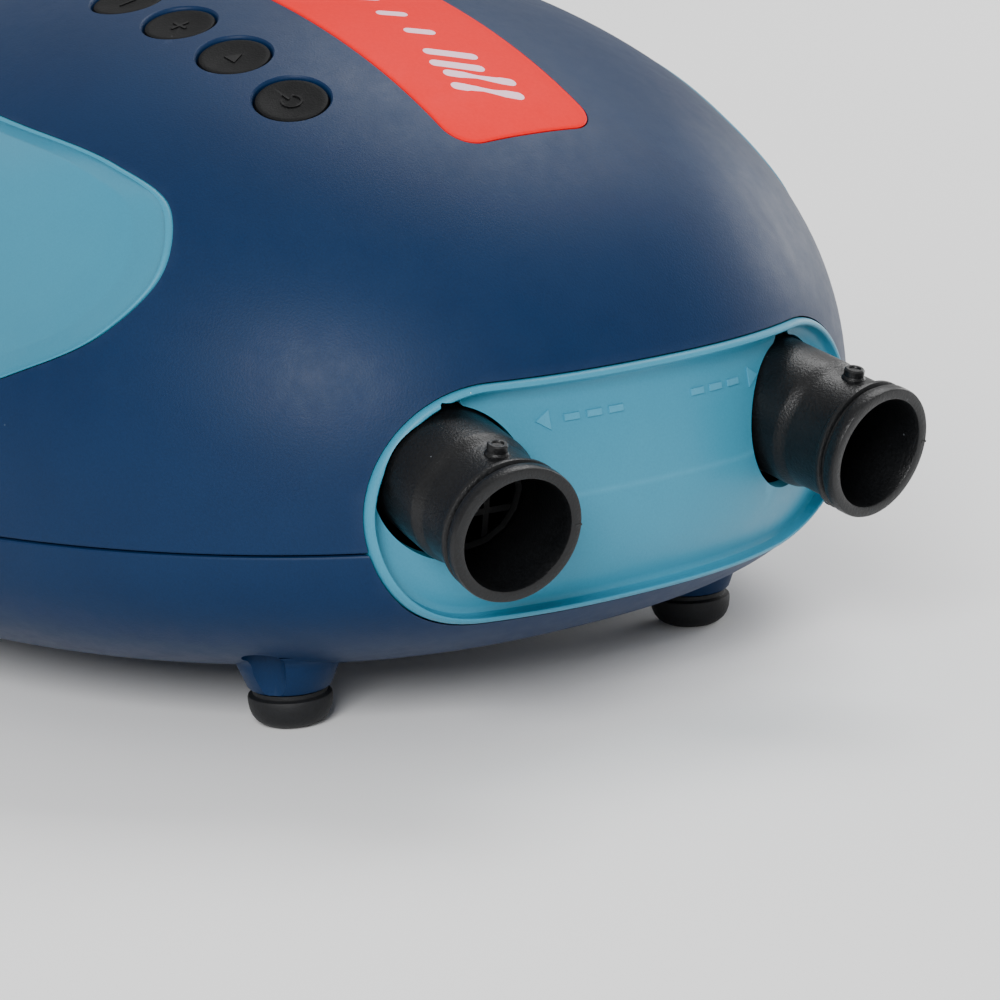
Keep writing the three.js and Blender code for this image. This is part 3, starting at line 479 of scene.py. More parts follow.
for x, y in SCREW_SPOTS.values():
    cuts.append(turned("cut", SCREW_POCKET, 40, pointing((x, y, 0), (0, 0, 1))))
for x, y in FOOT_SPOTS.values():
    cuts.append(turned("cut", FOOT_BORE, 32, pointing((x, y, 0), (0, 0, 1))))
combine(lower, joined("cuts", cuts), "DIFFERENCE")
soft_shade(lower, outer_form=True)
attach(lower, "pump_body")
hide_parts("lower_shell")

# ---- the navy moulding compound, and the finishes of every other plastic here ----


def finish_nodes(name):
    """An empty node material with its shader, and a maker of linked nodes."""
    material = bpy.data.materials.new(name)
    material.use_nodes = True
    tree = material.node_tree
    shader = tree.nodes["Principled BSDF"]

    def add(kind, inputs=(), **settings):
        node = tree.nodes.new(kind)
        for key, value in settings.items():
            setattr(node, key, value)
        for key, value in dict(inputs).items():
            if isinstance(value, bpy.types.NodeSocket):
                tree.links.new(value, node.inputs[key])
            else:
                node.inputs[key].default_value = value
        return node

    return material, tree, shader, add


def moulded(name, colour, tint, roughness, grain=0.12, grain_scale=2600.0, mottle=0.06, specks=0.0,
            speck_colour=(0.6, 0.66, 0.72, 1), wear=0.25, specular=0.5):
    """Moulded plastic: an uneven pigment, a fine tool grain, dust, and edges rubbed lighter."""
    material, tree, shader, add = finish_nodes(name)
    where = add("ShaderNodeTexCoord").outputs["Object"]
    broad = add("ShaderNodeTexNoise", {"Vector": where, "Scale": 26.0, "Detail": 3.0, "Roughness": 0.6})
    fine = add("ShaderNodeTexNoise",
               {"Vector": where, "Scale": grain_scale, "Detail": 2.0, "Roughness": 0.65})
    rubbed = add("ShaderNodeTexNoise", {"Vector": where, "Scale": 210.0, "Detail": 4.0, "Roughness": 0.7})
    base = add("ShaderNodeMix", data_type="RGBA", blend_type="MIX")
    base.inputs[6].default_value, base.inputs[7].default_value = colour, tint
    level = add("ShaderNodeMapRange", {"Value": broad.outputs["Fac"], "From Min": 0.36, "From Max": 0.64})
    tree.links.new(level.outputs["Result"], base.inputs[0])
    shade = add("ShaderNodeMix", data_type="RGBA", blend_type="MULTIPLY")
    grains = add("ShaderNodeMapRange", {
        "Value": fine.outputs["Fac"], "From Min": 0.3, "From Max": 0.7, "To Min": 1 - mottle * 2,
        "To Max": 1 + mottle})
    shade.inputs[0].default_value = 1.0
    tree.links.new(base.outputs[2], shade.inputs[6])
    tree.links.new(grains.outputs["Result"], shade.inputs[7])
    found = shade.outputs[2]
    if wear:
        edge = add("ShaderNodeNewGeometry").outputs["Pointiness"]
        proud = add("ShaderNodeMapRange", {"Value": edge, "From Min": 0.53, "From Max": 0.62})
        scuffed = add("ShaderNodeMath", {0: proud.outputs["Result"], 1: rubbed.outputs["Fac"]},
                      operation="MULTIPLY")
        amount = add("ShaderNodeMath", {0: scuffed.outputs[0], 1: wear}, operation="MULTIPLY")
        worn = add("ShaderNodeMix", data_type="RGBA", blend_type="MIX")
        tree.links.new(amount.outputs[0], worn.inputs[0])
        tree.links.new(found, worn.inputs[6])
        worn.inputs[7].default_value = tuple(min(c * 1.5 + 0.06, 1.0) for c in colour[:3]) + (1,)
        found = worn.outputs[2]
    if specks:
        dust = add("ShaderNodeTexVoronoi", {"Vector": where, "Scale": 520.0}, feature="F1")
        dot = add("ShaderNodeMath", {0: dust.outputs["Distance"], 1: 0.09}, operation="LESS_THAN")
        rare = add("ShaderNodeSeparateColor", {"Color": dust.outputs["Color"]})
        few = add("ShaderNodeMath", {0: rare.outputs[0], 1: 1 - specks}, operation="GREATER_THAN")
        spot = add("ShaderNodeMath", {0: dot.outputs[0], 1: few.outputs[0]}, operation="MULTIPLY")
        faint = add("ShaderNodeMath", {0: spot.outputs[0], 1: rare.outputs[1]}, operation="MULTIPLY")
        dusty = add("ShaderNodeMix", data_type="RGBA", blend_type="MIX")
        tree.links.new(faint.outputs[0], dusty.inputs[0])
        tree.links.new(found, dusty.inputs[6])
        dusty.inputs[7].default_value = speck_colour
        found = dusty.outputs[2]
    tree.links.new(found, shader.inputs["Base Color"])
    patch = add("ShaderNodeMapRange", {
        "Value": rubbed.outputs["Fac"], "From Min": 0.3, "From Max": 0.7,
        "To Min": roughness - 0.035, "To Max": roughness + 0.05})
    tree.links.new(patch.outputs["Result"], shader.inputs["Roughness"])
    bump = add("ShaderNodeBump", {"Height": fine.outputs["Fac"], "Strength": grain, "Distance": 0.0002})
    tree.links.new(bump.outputs["Normal"], shader.inputs["Normal"])
    shader.inputs["Specular IOR Level"].default_value = specular
    return material


def dress(piece, material):
    piece.data.materials.clear()
    piece.data.materials.append(material)


navy = moulded("navy_satin", (0.0016, 0.0165, 0.058, 1), (0.0019, 0.0190, 0.065, 1), 0.45, grain=0.16,
               specks=0.003, speck_colour=(0.05, 0.08, 0.12, 1), specular=0.16)
dress(upper, navy)
dress(lower, navy)

# ==== PORT PANEL ===========================================================
# A teal ABS tray let into the nose across both shells, held between them by
# its rim. A thin rounded lip stands just proud round a shallow well, and two
# keyed holes let the nozzles through.
PANEL_LIP, PANEL_PROUD, PANEL_DEPTH, PANEL_FLOOR = 1.3, 0.8, 3.6, 2.4


def panel_ring(grow, lift):
    ring = []
    for y, z in panel_outline(grow):
        ring.append((nose_x(y, z) + lift, y, z))
    return ring


half = PANEL_HALF_HEIGHT
front_steps = [
    (0.0, -4.5), (0.0, 0.1), (-0.08, 0.42), (-0.3, 0.68), (-0.62, PANEL_PROUD), (-0.92, 0.7), (-1.14, 0.44),
    (-PANEL_LIP + 0.04, 0.1), (-PANEL_LIP, -0.4), (-1.45, -1.4), (-1.75, -2.2), (-2.3, -2.85), (-3.2, -3.3),
    (-4.5, -3.53), (-6.0, -PANEL_DEPTH), (-9, -PANEL_DEPTH), (-12, -PANEL_DEPTH), (-15, -PANEL_DEPTH),
    (-18, -PANEL_DEPTH), (-half + 0.8, -PANEL_DEPTH), (-half + 0.001, -PANEL_DEPTH),
]
back = -PANEL_DEPTH - PANEL_FLOOR
back_steps = [(-half + 0.001, back), (-half + 0.8, back), (-18, back), (-12, back), (-6, back),
              (-2.5, back), (0, back)]
panel = ring_stack("port_tray", [panel_ring(*step) for step in front_steps + back_steps], loop=True)
NOTCH_HALF, NOTCH_UP = 2.3, 1.6
for side in (-1, 1):
    hole = [(PORT_HOLE_R * math.sin(a), PORT_HOLE_R * math.cos(a) - PORT_HOLE_DROP)
            for a in np.linspace(0.24, math.tau - 0.24, 90)]
    top = PORT_HOLE_R + NOTCH_UP - PORT_HOLE_DROP
    foot = PORT_HOLE_R - PORT_HOLE_DROP - 0.4
    hole += [(-NOTCH_HALF - 0.35, foot + 0.25), (-NOTCH_HALF, foot + 0.7), (-NOTCH_HALF, top - 0.3),
             (-NOTCH_HALF + 0.3, top), (NOTCH_HALF - 0.3, top), (NOTCH_HALF, top - 0.3),
             (NOTCH_HALF, foot + 0.7), (NOTCH_HALF + 0.35, foot + 0.25)]
    rings = [[(-x, y, run) for x, y in hole] for run in (-45.0, 15.0)]
    cutter = ring_stack("cut", rings, (0, 0, -45.0), (0, 0, 15.0),
                        about=pointing(port_point(side, 0), port_direction(side)))
    combine(panel, cutter, "DIFFERENCE")
soft_shade(panel, 38)


MARK_RISE = 0.28


def floor_mark(name, outline):
    """A low raised shape on the tray's floor, from (y, z) points, with its top drawn in slightly."""
    middle = [sum(p[i] for p in outline) / len(outline) for i in (0, 1)]
    rings = []
    for draw_in, lift in ((0, -0.4), (0, MARK_RISE * 0.5), (0.05, MARK_RISE)):
        loop = [(p[0] + (middle[0] - p[0]) * draw_in, p[1] + (middle[1] - p[1]) * draw_in) for p in outline]
        rings.append([(nose_x(y, z) - PANEL_DEPTH + lift, y, z) for y, z in loop])
    ends = [(nose_x(*middle) - PANEL_DEPTH + lift, *middle) for lift in (-0.4, MARK_RISE)]
    return ring_stack(name, rings, ends[0], ends[1])


# Air marks by each port: an arrowhead and three short bars, moulded in the tray's own colour.
marks = []
for first, step in ((-21.5, 1), (26.5, -1)):
    z = 55.4
    marks.append(floor_mark("mark",
                            [(first, z), (first + 2.6 * step, z + 1.7), (first + 2.6 * step, z - 1.7)]))
    for place in range(3):
        y = first + step * (5.2 + 4.3 * place)
        marks.append(floor_mark("mark",
                                [(y, z - 0.55), (y + 2.9 * step, z - 0.55), (y + 2.9 * step, z + 0.55),
                                 (y, z + 0.55)]))
air_marks = joined("air_marks", marks)
soft_shade(air_marks, 30)
for piece in (panel, air_marks):
    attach(piece, "pump_body")
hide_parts("port_panel")
teal = moulded("teal_satin", (0.030, 0.215, 0.330, 1), (0.034, 0.228, 0.345, 1), 0.42, grain=0.1,
               mottle=0.03, specks=0.0012, speck_colour=(0.75, 0.85, 0.88, 1), wear=0.5, specular=0.3)
dress(panel, teal)
dress(air_marks, teal)

# ==== NOZZLES ==============================================================
# Two black glass-filled nylon spouts, plugged into the ends of the ducts. Each
# has an end flange, a locating ring and two round bayonet pins that a hose
# fitting turns onto, with the blower's intake grille inside the right one.
BORE_R, FLANGE_R, NOZZLE_LENGTH = 9.6, 11.7, 40.0
BARREL_R, BASE_R = FLANGE_R - 1.0, FLANGE_R - 0.2
PIN_R, PIN_TIP, PIN_BACK = 1.75, FLANGE_R + 0.75, 8.4
nozzle_profile = [
    (BORE_R + 0.02, -3.0), (BORE_R + 0.04, -0.35), (BORE_R + 0.16, -0.1), (BORE_R + 0.36, 0.0),
    (FLANGE_R - 0.42, 0.0), (FLANGE_R - 0.16, -0.1), (FLANGE_R - 0.02, -0.4), (FLANGE_R, -1.0),
    (FLANGE_R, -1.95), (FLANGE_R - 0.14, -2.25), (FLANGE_R - 0.5, -2.42), (FLANGE_R - 0.78, -2.6),
    (FLANGE_R - 0.85, -2.9), (FLANGE_R - 0.78, -3.2), (FLANGE_R - 0.4, -3.36), (FLANGE_R - 0.14, -3.55),
    (FLANGE_R - 0.08, -3.9), (FLANGE_R - 0.14, -4.3), (FLANGE_R - 0.5, -4.6), (BARREL_R + 0.1, -4.85),
    (BARREL_R, -5.3), (BARREL_R, -8.5), (BARREL_R, -11.7), (BARREL_R + 0.06, -12.2),
    (BARREL_R + 0.3, -12.8), (BASE_R - 0.3, -13.5), (BASE_R - 0.08, -14.0), (BASE_R, -14.7),
    (BASE_R, -20.0), (BASE_R, -30.0), (BASE_R, -NOZZLE_LENGTH + 0.4), (BASE_R - 0.4, -NOZZLE_LENGTH),
    (BORE_R, -NOZZLE_LENGTH), (BORE_R, -25.0), (BORE_R, -12.0),
]


def nozzle(name, side):
    place = pointing(port_point(side, 0), port_direction(side))
    spout = turned(name, nozzle_profile, 128, place)
    for up in (1, -1):
        stem = place @ pointing((0, 0, -PIN_BACK), (0, up, 0), (0, 0, 1))
        pin = turned("pin", [
            (0, BORE_R + 0.6), (PIN_R + 0.35, BORE_R + 0.6), (PIN_R + 0.3, BARREL_R + 0.1),
            (PIN_R, BARREL_R + 0.45), (PIN_R, PIN_TIP - 0.25), (PIN_R - 0.25, PIN_TIP),
            (PIN_R - 0.7, PIN_TIP), (PIN_R - 0.85, PIN_TIP - 0.3), (0, PIN_TIP - 0.35),
        ], 28, stem)
        combine(spout, pin, "UNION")
    gate = new_piece("gate", *box_between((BORE_R + 0.9, -0.16, -0.5), (FLANGE_R - 0.1, 0.16, 0.07)), place)
    face_outward(gate)
    combine(spout, gate, "UNION")
    soft_shade(spout, 34)
    return spout


def box_between(low, high):
    """Points and faces of a block, from its lowest and highest corners."""
    points = [(x, y, z) for x in (low[0], high[0]) for y in (low[1], high[1]) for z in (low[2], high[2])]
    return points, [(0, 1, 3, 2), (4, 6, 7, 5), (0, 4, 5, 1), (2, 3, 7, 6), (0, 2, 6, 4), (1, 5, 7, 3)]


black = moulded("black_nylon", (0.0036, 0.0040, 0.0046, 1), (0.0048, 0.0052, 0.0060, 1), 0.36, grain=0.5,
                grain_scale=2100.0, mottle=0.25, specks=0.03, speck_colour=(0.10, 0.11, 0.12, 1), wear=0.3,
                specular=0.3)
for name, side in (("deflate", -1), ("inflate", 1)):
    spout = nozzle("spout_" + name, side)
    dress(spout, black)
    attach(spout, "pump_body")
    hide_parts("nozzle_" + name)


def refinish(material, *nodes):
    """Gives CAD pieces that keep their own shape their finish."""
    for node in nodes:
        dress(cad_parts[node], material)


refinish(black, "intake_grille")

# ==== FINGER RECESSES ======================================================
# Two teal ABS dishes snapped into the flanks, where the fingers go to lift the
# pump. A thin bright edge runs round a sloping band, which turns softly into
# the dish's flatter floor.
BAND_SHARE, BAND_DEPTH, GRIP_DEPTH, GRIP_WALL = 0.105, 6.4, 20.5, 1.8


def grip_ring(side, grow, inward, depth):
    ring = []
    for spot in grip_loop(grow, inward):
        ring.append((spot.x, side * (flank_y(spot.x, spot.y) - depth), spot.y))
    return ring


def dish_depth(share):
    """How deep the dish is at a share of the way from its edge to its middle."""
    if share < BAND_SHARE:
        return BAND_DEPTH * (share / BAND_SHARE) ** 0.85
    rest = (share - BAND_SHARE) / (1 - BAND_SHARE)
    return BAND_DEPTH + (GRIP_DEPTH - BAND_DEPTH) * (1 - (1 - rest) ** 2.4)


for side, name in ((-1, "right"), (1, "left")):
    steps = [(0.0, 0.0, 2.8), (0.0, 0.0, 0.05), (-0.08, 0.0, -0.18), (-0.3, 0.0, -0.3), (-0.55, 0.0, -0.22),
             (-0.75, 0.0, 0.0)]
    shares = [0.003, 0.015, 0.03, 0.05, 0.07, 0.085, 0.097, 0.106, 0.116, 0.13, 0.15, 0.18, 0.22, 0.27,
              0.33, 0.4, 0.48, 0.57, 0.66, 0.75, 0.84, 0.92, 0.97]
    front = [grip_ring(side, *step) for step in steps]
    front += [grip_ring(side, -0.8, share, dish_depth(share) + 0.15) for share in shares]
    rear = [grip_ring(side, -0.8, share, dish_depth(share) + GRIP_WALL) for share in shares[:2:-2]]
    cx, cz = GRIP_CENTRE
    deep = side * (flank_y(cx, cz) - GRIP_DEPTH)
    dish = ring_stack("finger_dish_" + name, front[::-1] + rear[::-1], (cx, deep, cz),
                      (cx, deep - side * GRIP_WALL, cz))
    soft_shade(dish, 40)
    dress(dish, teal)
    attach(dish, "pump_body")
    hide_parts("grip_liner_" + name)

# ==== BADGE ================================================================
# A long red inlay laid in a shallow pocket along the crown, cut from smooth
# coloured plastic with rounded corners. Pale printed shapes on it stand for
# moving air, with no words.
BADGE_RISE = 0.25
badge = dome_slab("red_inlay", top_outline(**BADGE), [
    (1, -1.1), (0.5, -1.1), (0.0, -1.1), (0.0, 0.02), (0.007, 0.14), (0.02, 0.22), (0.04, BADGE_RISE),
    (0.25, BADGE_RISE), (0.5, BADGE_RISE), (0.75, BADGE_RISE), (1, BADGE_RISE),
], spine_of(BADGE))
soft_shade(badge, 45)


def badge_mark(name, outline):
    """A printed shape a few hundredths thick, from a loop of (x, y) points."""
    middle = [sum(p[i] for p in outline) / len(outline) for i in (0, 1)]
    rings = [[on_dome(x, y, lift) for x, y in outline] for lift in (BADGE_RISE - 0.15, BADGE_RISE + 0.03)]
    ends = [on_dome(*middle, lift) for lift in (BADGE_RISE - 0.15, BADGE_RISE + 0.03)]
    return ring_stack(name, rings, ends[0], ends[1])


def capsule(centre, length, width, degrees, steps=8):
    """A round-ended bar as (x, y) points."""
    turn, half, radius = math.radians(degrees), length / 2 - width / 2, width / 2
    points = []
    for end in (0, 1):
        for k in range(steps + 1):
            a = math.pi * (k / steps - 0.5) + math.pi * end
            x = (half if end == 0 else -half) + radius * math.cos(a)
            y = radius * math.sin(a)
            points.append((centre[0] + x * math.cos(turn) - y * math.sin(turn),
                           centre[1] + x * math.sin(turn) + y * math.cos(turn)))
    return points


prints = []
for x, y, length in ((112.2, -0.6, 12.5), (108.4, 0.6, 12.5), (104.2, -1.0, 9.5), (100.4, 0.4, 9.5)):
    prints.append(badge_mark("print", capsule((x, y), length, 2.1, 62)))
for place in range(6):
    prints.append(badge_mark("print", capsule((91.5 - 8.2 * place, 0.4), 5.6, 2.0, 62)))
air_print = joined("air_print", prints)
soft_shade(air_print, 40)
red = moulded("red_gloss", (0.800, 0.0035, 0.006, 1), (0.820, 0.0045, 0.008, 1), 0.5, grain=0.05,
              grain_scale=1500.0, mottle=0.02, wear=0.1, specular=0.05)
pink = moulded("pale_pink_ink", (0.86, 0.50, 0.62, 1), (0.88, 0.54, 0.66, 1), 0.45, grain=0.04, mottle=0.03,
               wear=0.0)
dress(badge, red)
dress(air_print, pink)
for piece in (badge, air_print):
    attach(piece, "pump_body")
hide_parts("badge_plate")

# ==== BUTTONS ==============================================================
# Five round black nylon keys in a row beside the badge, each in its own
# bevelled hollow. Under them lie a grey silicone key mat and the switch board.
BUTTON_SINK = 0.55


def key_signs(name):
    """Low raised signs for one key, as loops of (x, y) points about its middle."""
    if name == "power":
        sweep = np.linspace(math.radians(50), math.radians(-230), 22)
        ring = [(1.9 * math.cos(a), 1.9 * math.sin(a)) for a in sweep]
        ring += [(1.5 * math.cos(a), 1.5 * math.sin(a)) for a in sweep[::-1]]
        return [ring, capsule((0, 1.6), 1.9, 0.42, 90, 4)]
    if name == "mode":
        return [[(-1.1, -1.5), (1.7, 0.0), (-1.1, 1.5)]]
    if name == "plus":
        return [[(0.25, 0.25), (0.25, 1.8), (-0.25, 1.8), (-0.25, 0.25), (-1.8, 0.25), (-1.8, -0.25),
                 (-0.25, -0.25), (-0.25, -1.8), (0.25, -1.8), (0.25, -0.25), (1.8, -0.25), (1.8, 0.25)]]
    if name == "minus":
        return [capsule((0, 0), 3.6, 0.5, 0, 4)]
    return [capsule((-1.3, 0), 0.9, 0.88, 0, 6), capsule((1.3, 0), 0.9, 0.88, 0, 6)]


key_black = moulded("key_black", (0.0030, 0.0032, 0.0036, 1), (0.0038, 0.0040, 0.0046, 1), 0.6, grain=0.3,
                    specular=0.1, grain_scale=2400.0, mottle=0.15, specks=0.01,
                    speck_colour=(0.2, 0.2, 0.22, 1), wear=0.3)
for name, (spot, normal) in button_spots.items():
    place = pointing(spot, normal, (-1, 0, 0))
    r = BUTTON_R
    cap = turned("key_cap_" + name, [
        (0, -BUTTON_SINK - 0.32), (2.2, -BUTTON_SINK - 0.3), (r - 2.2, -BUTTON_SINK - 0.16),
        (r - 1.0, -BUTTON_SINK - 0.02), (r - 0.5, -BUTTON_SINK), (r - 0.2, -BUTTON_SINK - 0.1),
        (r - 0.04, -BUTTON_SINK - 0.34), (r, -BUTTON_SINK - 0.7), (r, -3.2), (r, -4.7), (r + 1, -4.7),
        (r + 1, -5.4), (2, -5.4), (2, -6.4), (0, -6.4),
    ], 72, place)
    for loop in key_signs(name):
        loops = [[(x, y, height) for x, y in loop] for height in (-BUTTON_SINK - 0.9, -BUTTON_SINK - 0.12)]
        points = [p for ring in loops for p in ring]
        count = len(loop)
        faces = [tuple(range(count)), tuple(range(count, 2 * count))] + stack_faces(2, count)
        sign = new_piece("sign", points, faces, place)
        face_outward(sign)
        combine(cap, sign, "UNION")
    soft_shade(cap, 34)
    dress(cap, key_black)
    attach(cap, "key_" + name)
    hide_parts("button_" + name)


def laminate(name):
    """Green solder mask over copper tracks on a glass-cloth board."""
    material, tree, shader, add = finish_nodes(name)
    where = add("ShaderNodeTexCoord").outputs["Object"]
    weave = add("ShaderNodeTexWave", {"Vector": where, "Scale": 900.0, "Distortion": 1.5, "Detail": 2.0})
    tracks = add("ShaderNodeTexBrick", {"Vector": where, "Scale": 190.0, "Mortar Size": 0.03})
    tracks.inputs["Color1"].default_value = (0.010, 0.090, 0.040, 1)
    tracks.inputs["Color2"].default_value = (0.013, 0.115, 0.050, 1)
    tracks.inputs["Mortar"].default_value = (0.030, 0.190, 0.085, 1)
    tree.links.new(tracks.outputs["Color"], shader.inputs["Base Color"])
    bump = add("ShaderNodeBump", {"Height": weave.outputs["Fac"], "Strength": 0.2, "Distance": 0.00005})
    tree.links.new(bump.outputs["Normal"], shader.inputs["Normal"])
    shine = add("ShaderNodeMapRange", {"Value": weave.outputs["Fac"], "To Min": 0.28, "To Max": 0.38})
    tree.links.new(shine.outputs["Result"], shader.inputs["Roughness"])
    return material


board = laminate("board_green")
silicone = moulded("grey_silicone", (0.26, 0.28, 0.30, 1), (0.30, 0.32, 0.34, 1), 0.62, grain=0.2,
                   mottle=0.05, wear=0.0)
refinish(silicone, "key_mat")
refinish(board, "switch_board")

# ==== DISPLAY ==============================================================
# A smoked polycarbonate window glued flush in the crown behind the badge, with
# a small liquid-crystal module on the control board below it.
window = dome_slab("smoked_pane", top_outline(**WINDOW), [
    (1, -1.3), (0.5, -1.3), (0.0, -1.3), (0.0, -0.25), (0.006, -0.12), (0.016, -0.04), (0.03, -0.02),
    (0.25, -0.02), (0.5, -0.02), (0.75, -0.02), (1, -0.02),
], spine_of(WINDOW))
soft_shade(window, 45)
smoke = moulded("smoked_gloss", (0.006, 0.0065, 0.008, 1), (0.008, 0.0085, 0.010, 1), 0.24, grain=0.02,
                mottle=0.05, wear=0.2, specks=0.0008, specular=0.3)
dress(window, smoke)
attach(window, "pump_body")
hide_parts("display_window")
grey = moulded("frame_grey", (0.42, 0.44, 0.46, 1), (0.46, 0.48, 0.50, 1), 0.5, grain=0.15, mottle=0.05,
               wear=0.2)
refinish(grey, "lcd_module")
refinish(board, "control_board", "power_board")
refinish(black, "pressure_sensor")

# ==== FEET =================================================================
# Four soft black rubber caps, each with a stem pushed up into its leg. The
# domed end takes the pump's weight and keeps it from creeping as it runs.
rubber = moulded("black_rubber", (0.0050, 0.0056, 0.0066, 1), (0.0064, 0.0070, 0.0084, 1), 0.60, grain=0.35,
                 grain_scale=1900.0, mottle=0.18, specks=0.004, speck_colour=(0.25, 0.25, 0.26, 1),
                 wear=0.35, specular=0.35)
for name, (x, y) in FOOT_SPOTS.items():
    cap = turned("rubber_foot_" + name, [
        (0, 0.0), (3.7, 0.0), (4.6, 0.16), (5.5, 0.62), (6.2, 1.2), (6.75, 2.0), (7.1, 2.95), (7.27, 4.0),
        (7.3, 4.9), (7.2, 5.25), (6.95, 5.4), (6.6, 5.45), (6.42, 5.6), (6.4, 6.28), (3.0, 6.28),
        (3.0, 13.7), (2.7, 14.0), (0, 14.0),
    ], 80, pointing((x, y, 0), (0, 0, 1)))
    soft_shade(cap, 40)
    dress(cap, rubber)
    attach(cap, "pump_body")
    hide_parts("foot_cap_" + name)

# ==== SCREWS ===============================================================
# Six zinc-plated self-tapping screws, driven up from below at the bottom of
# deep pockets, pull the lower shell onto the upper one.


def metal(name, colour, tint, roughness, scale=(40.0, 900.0, 900.0), depth=0.15, spread=0.08):
    """Bare metal with drawn or cast marks: scale stretches the marks along one axis."""
    material, tree, shader, add = finish_nodes(name)
    where = add("ShaderNodeTexCoord").outputs["Object"]
    stretched = add("ShaderNodeMapping", {"Vector": where, "Scale": scale})
    lines = add("ShaderNodeTexNoise",
                {"Vector": stretched.outputs["Vector"], "Scale": 1.0, "Detail": 4.0, "Roughness": 0.7})
    cloud = add("ShaderNodeTexNoise", {"Vector": where, "Scale": 60.0, "Detail": 3.0})
    base = add("ShaderNodeMix", data_type="RGBA", blend_type="MIX")
    base.inputs[6].default_value, base.inputs[7].default_value = colour, tint
    tree.links.new(cloud.outputs["Fac"], base.inputs[0])
    tree.links.new(base.outputs[2], shader.inputs["Base Color"])
    shine = add("ShaderNodeMapRange", {
        "Value": lines.outputs["Fac"], "From Min": 0.3, "From Max": 0.7, "To Min": roughness - spread,
        "To Max": roughness + spread})
    tree.links.new(shine.outputs["Result"], shader.inputs["Roughness"])
    bump = add("ShaderNodeBump", {"Height": lines.outputs["Fac"], "Strength": depth, "Distance": 0.00008})
    tree.links.new(bump.outputs["Normal"], shader.inputs["Normal"])
    shader.inputs["Metallic"].default_value = 1.0
    return material


zinc = metal("zinc_plate", (0.46, 0.47, 0.48, 1), (0.54, 0.55, 0.55, 1), 0.34)
refinish(zinc, *["screw_" + name for name in SCREW_SPOTS])

# ==== POWER INLET ==========================================================
# A round black socket in the tail for the twelve-volt lead, with a steel-tipped
# centre contact. The lead itself is a separate thing and isn't fitted.
INLET_BORE, INLET_LENGTH = 4.2, 18.0
socket = turned("power_socket", [
    (0, 0), (INLET_R - 1.2, 0), (INLET_R - 1.2, 12), (INLET_R - 0.3, 12), (INLET_R, 12.3), (INLET_R, 17.3),
    (INLET_R - 0.25, 17.8), (INLET_R - 0.7, INLET_LENGTH), (INLET_BORE + 0.6, INLET_LENGTH),
    (INLET_BORE + 0.15, 17.8), (INLET_BORE, 17.3), (INLET_BORE, 6.0), (1.1, 6.0), (1.1, 13.4), (0.7, 14.0),
    (0, 14.0),
], 72, pointing((INLET_LENGTH + 0.5 - HALF_LENGTH, 0, INLET_Z), (-1, 0, 0)))
soft_shade(socket, 34)
dress(socket, black)
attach(socket, "pump_body")
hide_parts("power_inlet")

# ==== BLOWER ===============================================================
# The first stage, behind the ports: a black nylon volute and cover, a natural
# nylon impeller on the motor's steel shaft, and a small fan that draws air in
# through the tail slots over the steel-cased motor.
nylon = moulded("natural_nylon", (0.70, 0.66, 0.56, 1), (0.76, 0.72, 0.62, 1), 0.48, grain=0.12,
                mottle=0.04, wear=0.2)
steel = metal("motor_steel", (0.40, 0.41, 0.42, 1), (0.50, 0.51, 0.52, 1), 0.36)
refinish(black, "blower_volute", "blower_inlet_cover")
refinish(nylon, "impeller", "cooling_fan")
refinish(steel, "blower_motor", "blower_shaft")

# ==== COMPRESSOR ===========================================================
# The second stage: a geared motor turns a nylon crank wheel, whose pin works an
# aluminium rod and piston in a cast cylinder across the pump, all on one
# folded steel bracket.
cast = metal("cast_aluminium", (0.52, 0.53, 0.54, 1), (0.62, 0.63, 0.64, 1), 0.5, (300.0, 300.0, 300.0),
             0.5, 0.1)
brass = metal("cut_brass", (0.60, 0.42, 0.15, 1), (0.68, 0.48, 0.19, 1), 0.3)
seal = moulded("ring_ptfe", (0.055, 0.050, 0.046, 1), (0.070, 0.064, 0.058, 1), 0.4, grain=0.1, mottle=0.1,
               wear=0.1)
refinish(nylon, "crank_gear")
refinish(brass, "motor_pinion")
refinish(steel, "compressor_bracket", "compressor_motor", "crank_pin", "wrist_pin", "valve_plate")
refinish(cast, "connecting_rod", "piston", "cylinder", "cylinder_head")
refinish(seal, "piston_ring")

# ==== DUCTS ================================================================
# Two moulded air ducts join the blower's inlet and outlet to the nozzles, a
# rubber flap stops air running back, and a thin hose taps the cylinder's
# pressure into the inflate duct.
refinish(black, "deflate_duct", "inflate_duct")
refinish(rubber, "pressure_tube", "check_flap")

# ==== STUDIO ===============================================================
# A plain near-white floor, a white surround and three soft panels of light,
# with the camera low in front of the pump's right-hand port.
floor = new_piece("studio_floor", [(-2400, -2400, 0), (2400, -2400, 0), (2400, 2400, 0), (-2400, 2400, 0)],
                  [(0, 1, 2, 3)])
material, tree, shader, add = finish_nodes("studio_white")
where = add("ShaderNodeTexCoord").outputs["Object"]
cloud = add("ShaderNodeTexNoise", {"Vector": where, "Scale": 3.0, "Detail": 2.0})
tone = add("ShaderNodeMapRange", {"Value": cloud.outputs["Fac"], "To Min": 0.93, "To Max": 0.95})
tree.links.new(tone.outputs["Result"], shader.inputs["Base Color"])
shader.inputs["Roughness"].default_value = 0.9
shader.inputs["Specular IOR Level"].default_value = 0.1
dress(floor, material)

world = bpy.data.worlds.new("studio_air")
world.use_nodes = True
world.node_tree.nodes["Background"].inputs["Color"].default_value = (1.0, 1.0, 1.0, 1)
world.node_tree.nodes["Background"].inputs["Strength"].default_value = 0.6
bpy.context.scene.world = world

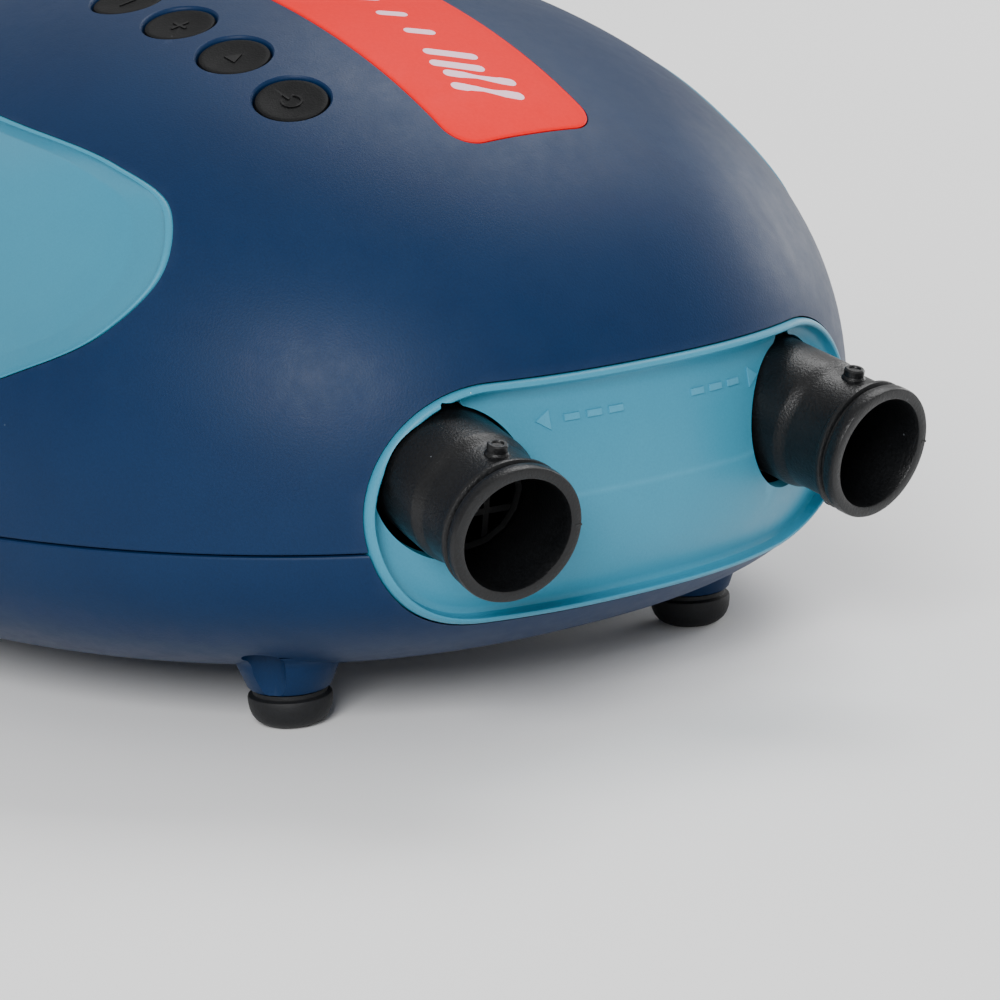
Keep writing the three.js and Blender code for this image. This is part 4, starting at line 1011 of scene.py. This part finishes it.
CAMERA_TURN, CAMERA_RISE, CAMERA_ROLL = math.radians(35.81), math.radians(13.81), math.radians(-2.655)
CAMERA_AIM, CAMERA_DISTANCE, CAMERA_LENS = (143.46, -24.45, 41.76), 625.4, 137.46
aim = Vector(((CAMERA_AIM[0] + middle_x) * MM, CAMERA_AIM[1] * MM, CAMERA_AIM[2] * MM))
toward = Vector((
    math.cos(CAMERA_RISE) * math.cos(CAMERA_TURN),
    -math.cos(CAMERA_RISE) * math.sin(CAMERA_TURN),
    math.sin(CAMERA_RISE),
))
level_right = Vector((math.sin(CAMERA_TURN), math.cos(CAMERA_TURN), 0))
level_up = toward.cross(level_right)
right = level_right * math.cos(CAMERA_ROLL) + level_up * math.sin(CAMERA_ROLL)
up = level_up * math.cos(CAMERA_ROLL) - level_right * math.sin(CAMERA_ROLL)
camera = bpy.data.objects.new("studio_camera", bpy.data.cameras.new("studio_camera"))
bpy.context.scene.collection.objects.link(camera)
camera.data.lens, camera.data.sensor_width = CAMERA_LENS, 36.0
camera.data.clip_start, camera.data.clip_end = 0.02, 20.0
camera.matrix_world = Matrix.Translation(aim + toward * CAMERA_DISTANCE * MM) @ Matrix(
    (right, up, toward)).transposed().to_4x4()
bpy.context.scene.camera = camera


def light_panel(name, at, look_at, size, watts):
    """A soft rectangular light, with its place and size in metres."""
    light = bpy.data.lights.new(name, "AREA")
    light.shape, light.size, light.size_y = "RECTANGLE", size[0], size[1]
    light.energy = watts
    panel_object = bpy.data.objects.new(name, light)
    bpy.context.scene.collection.objects.link(panel_object)
    here, there = Vector(at), Vector(look_at)
    panel_object.location = here
    panel_object.rotation_mode = "QUATERNION"
    panel_object.rotation_quaternion = (there - here).to_track_quat("-Z", "Y")


light_panel("side_light", (-0.15, 1.5, 0.42), (0.08, 0, 0.06), (0.9, 0.6), 8)
light_panel("top_light", (-0.5, 1.3, 2.2), (0.3, 0, 0), (1.6, 1.2), 40)
light_panel("floor_light", (1.9, -1.9, 1.5), (0.45, -0.3, 0), (1.2, 1.2), 95)
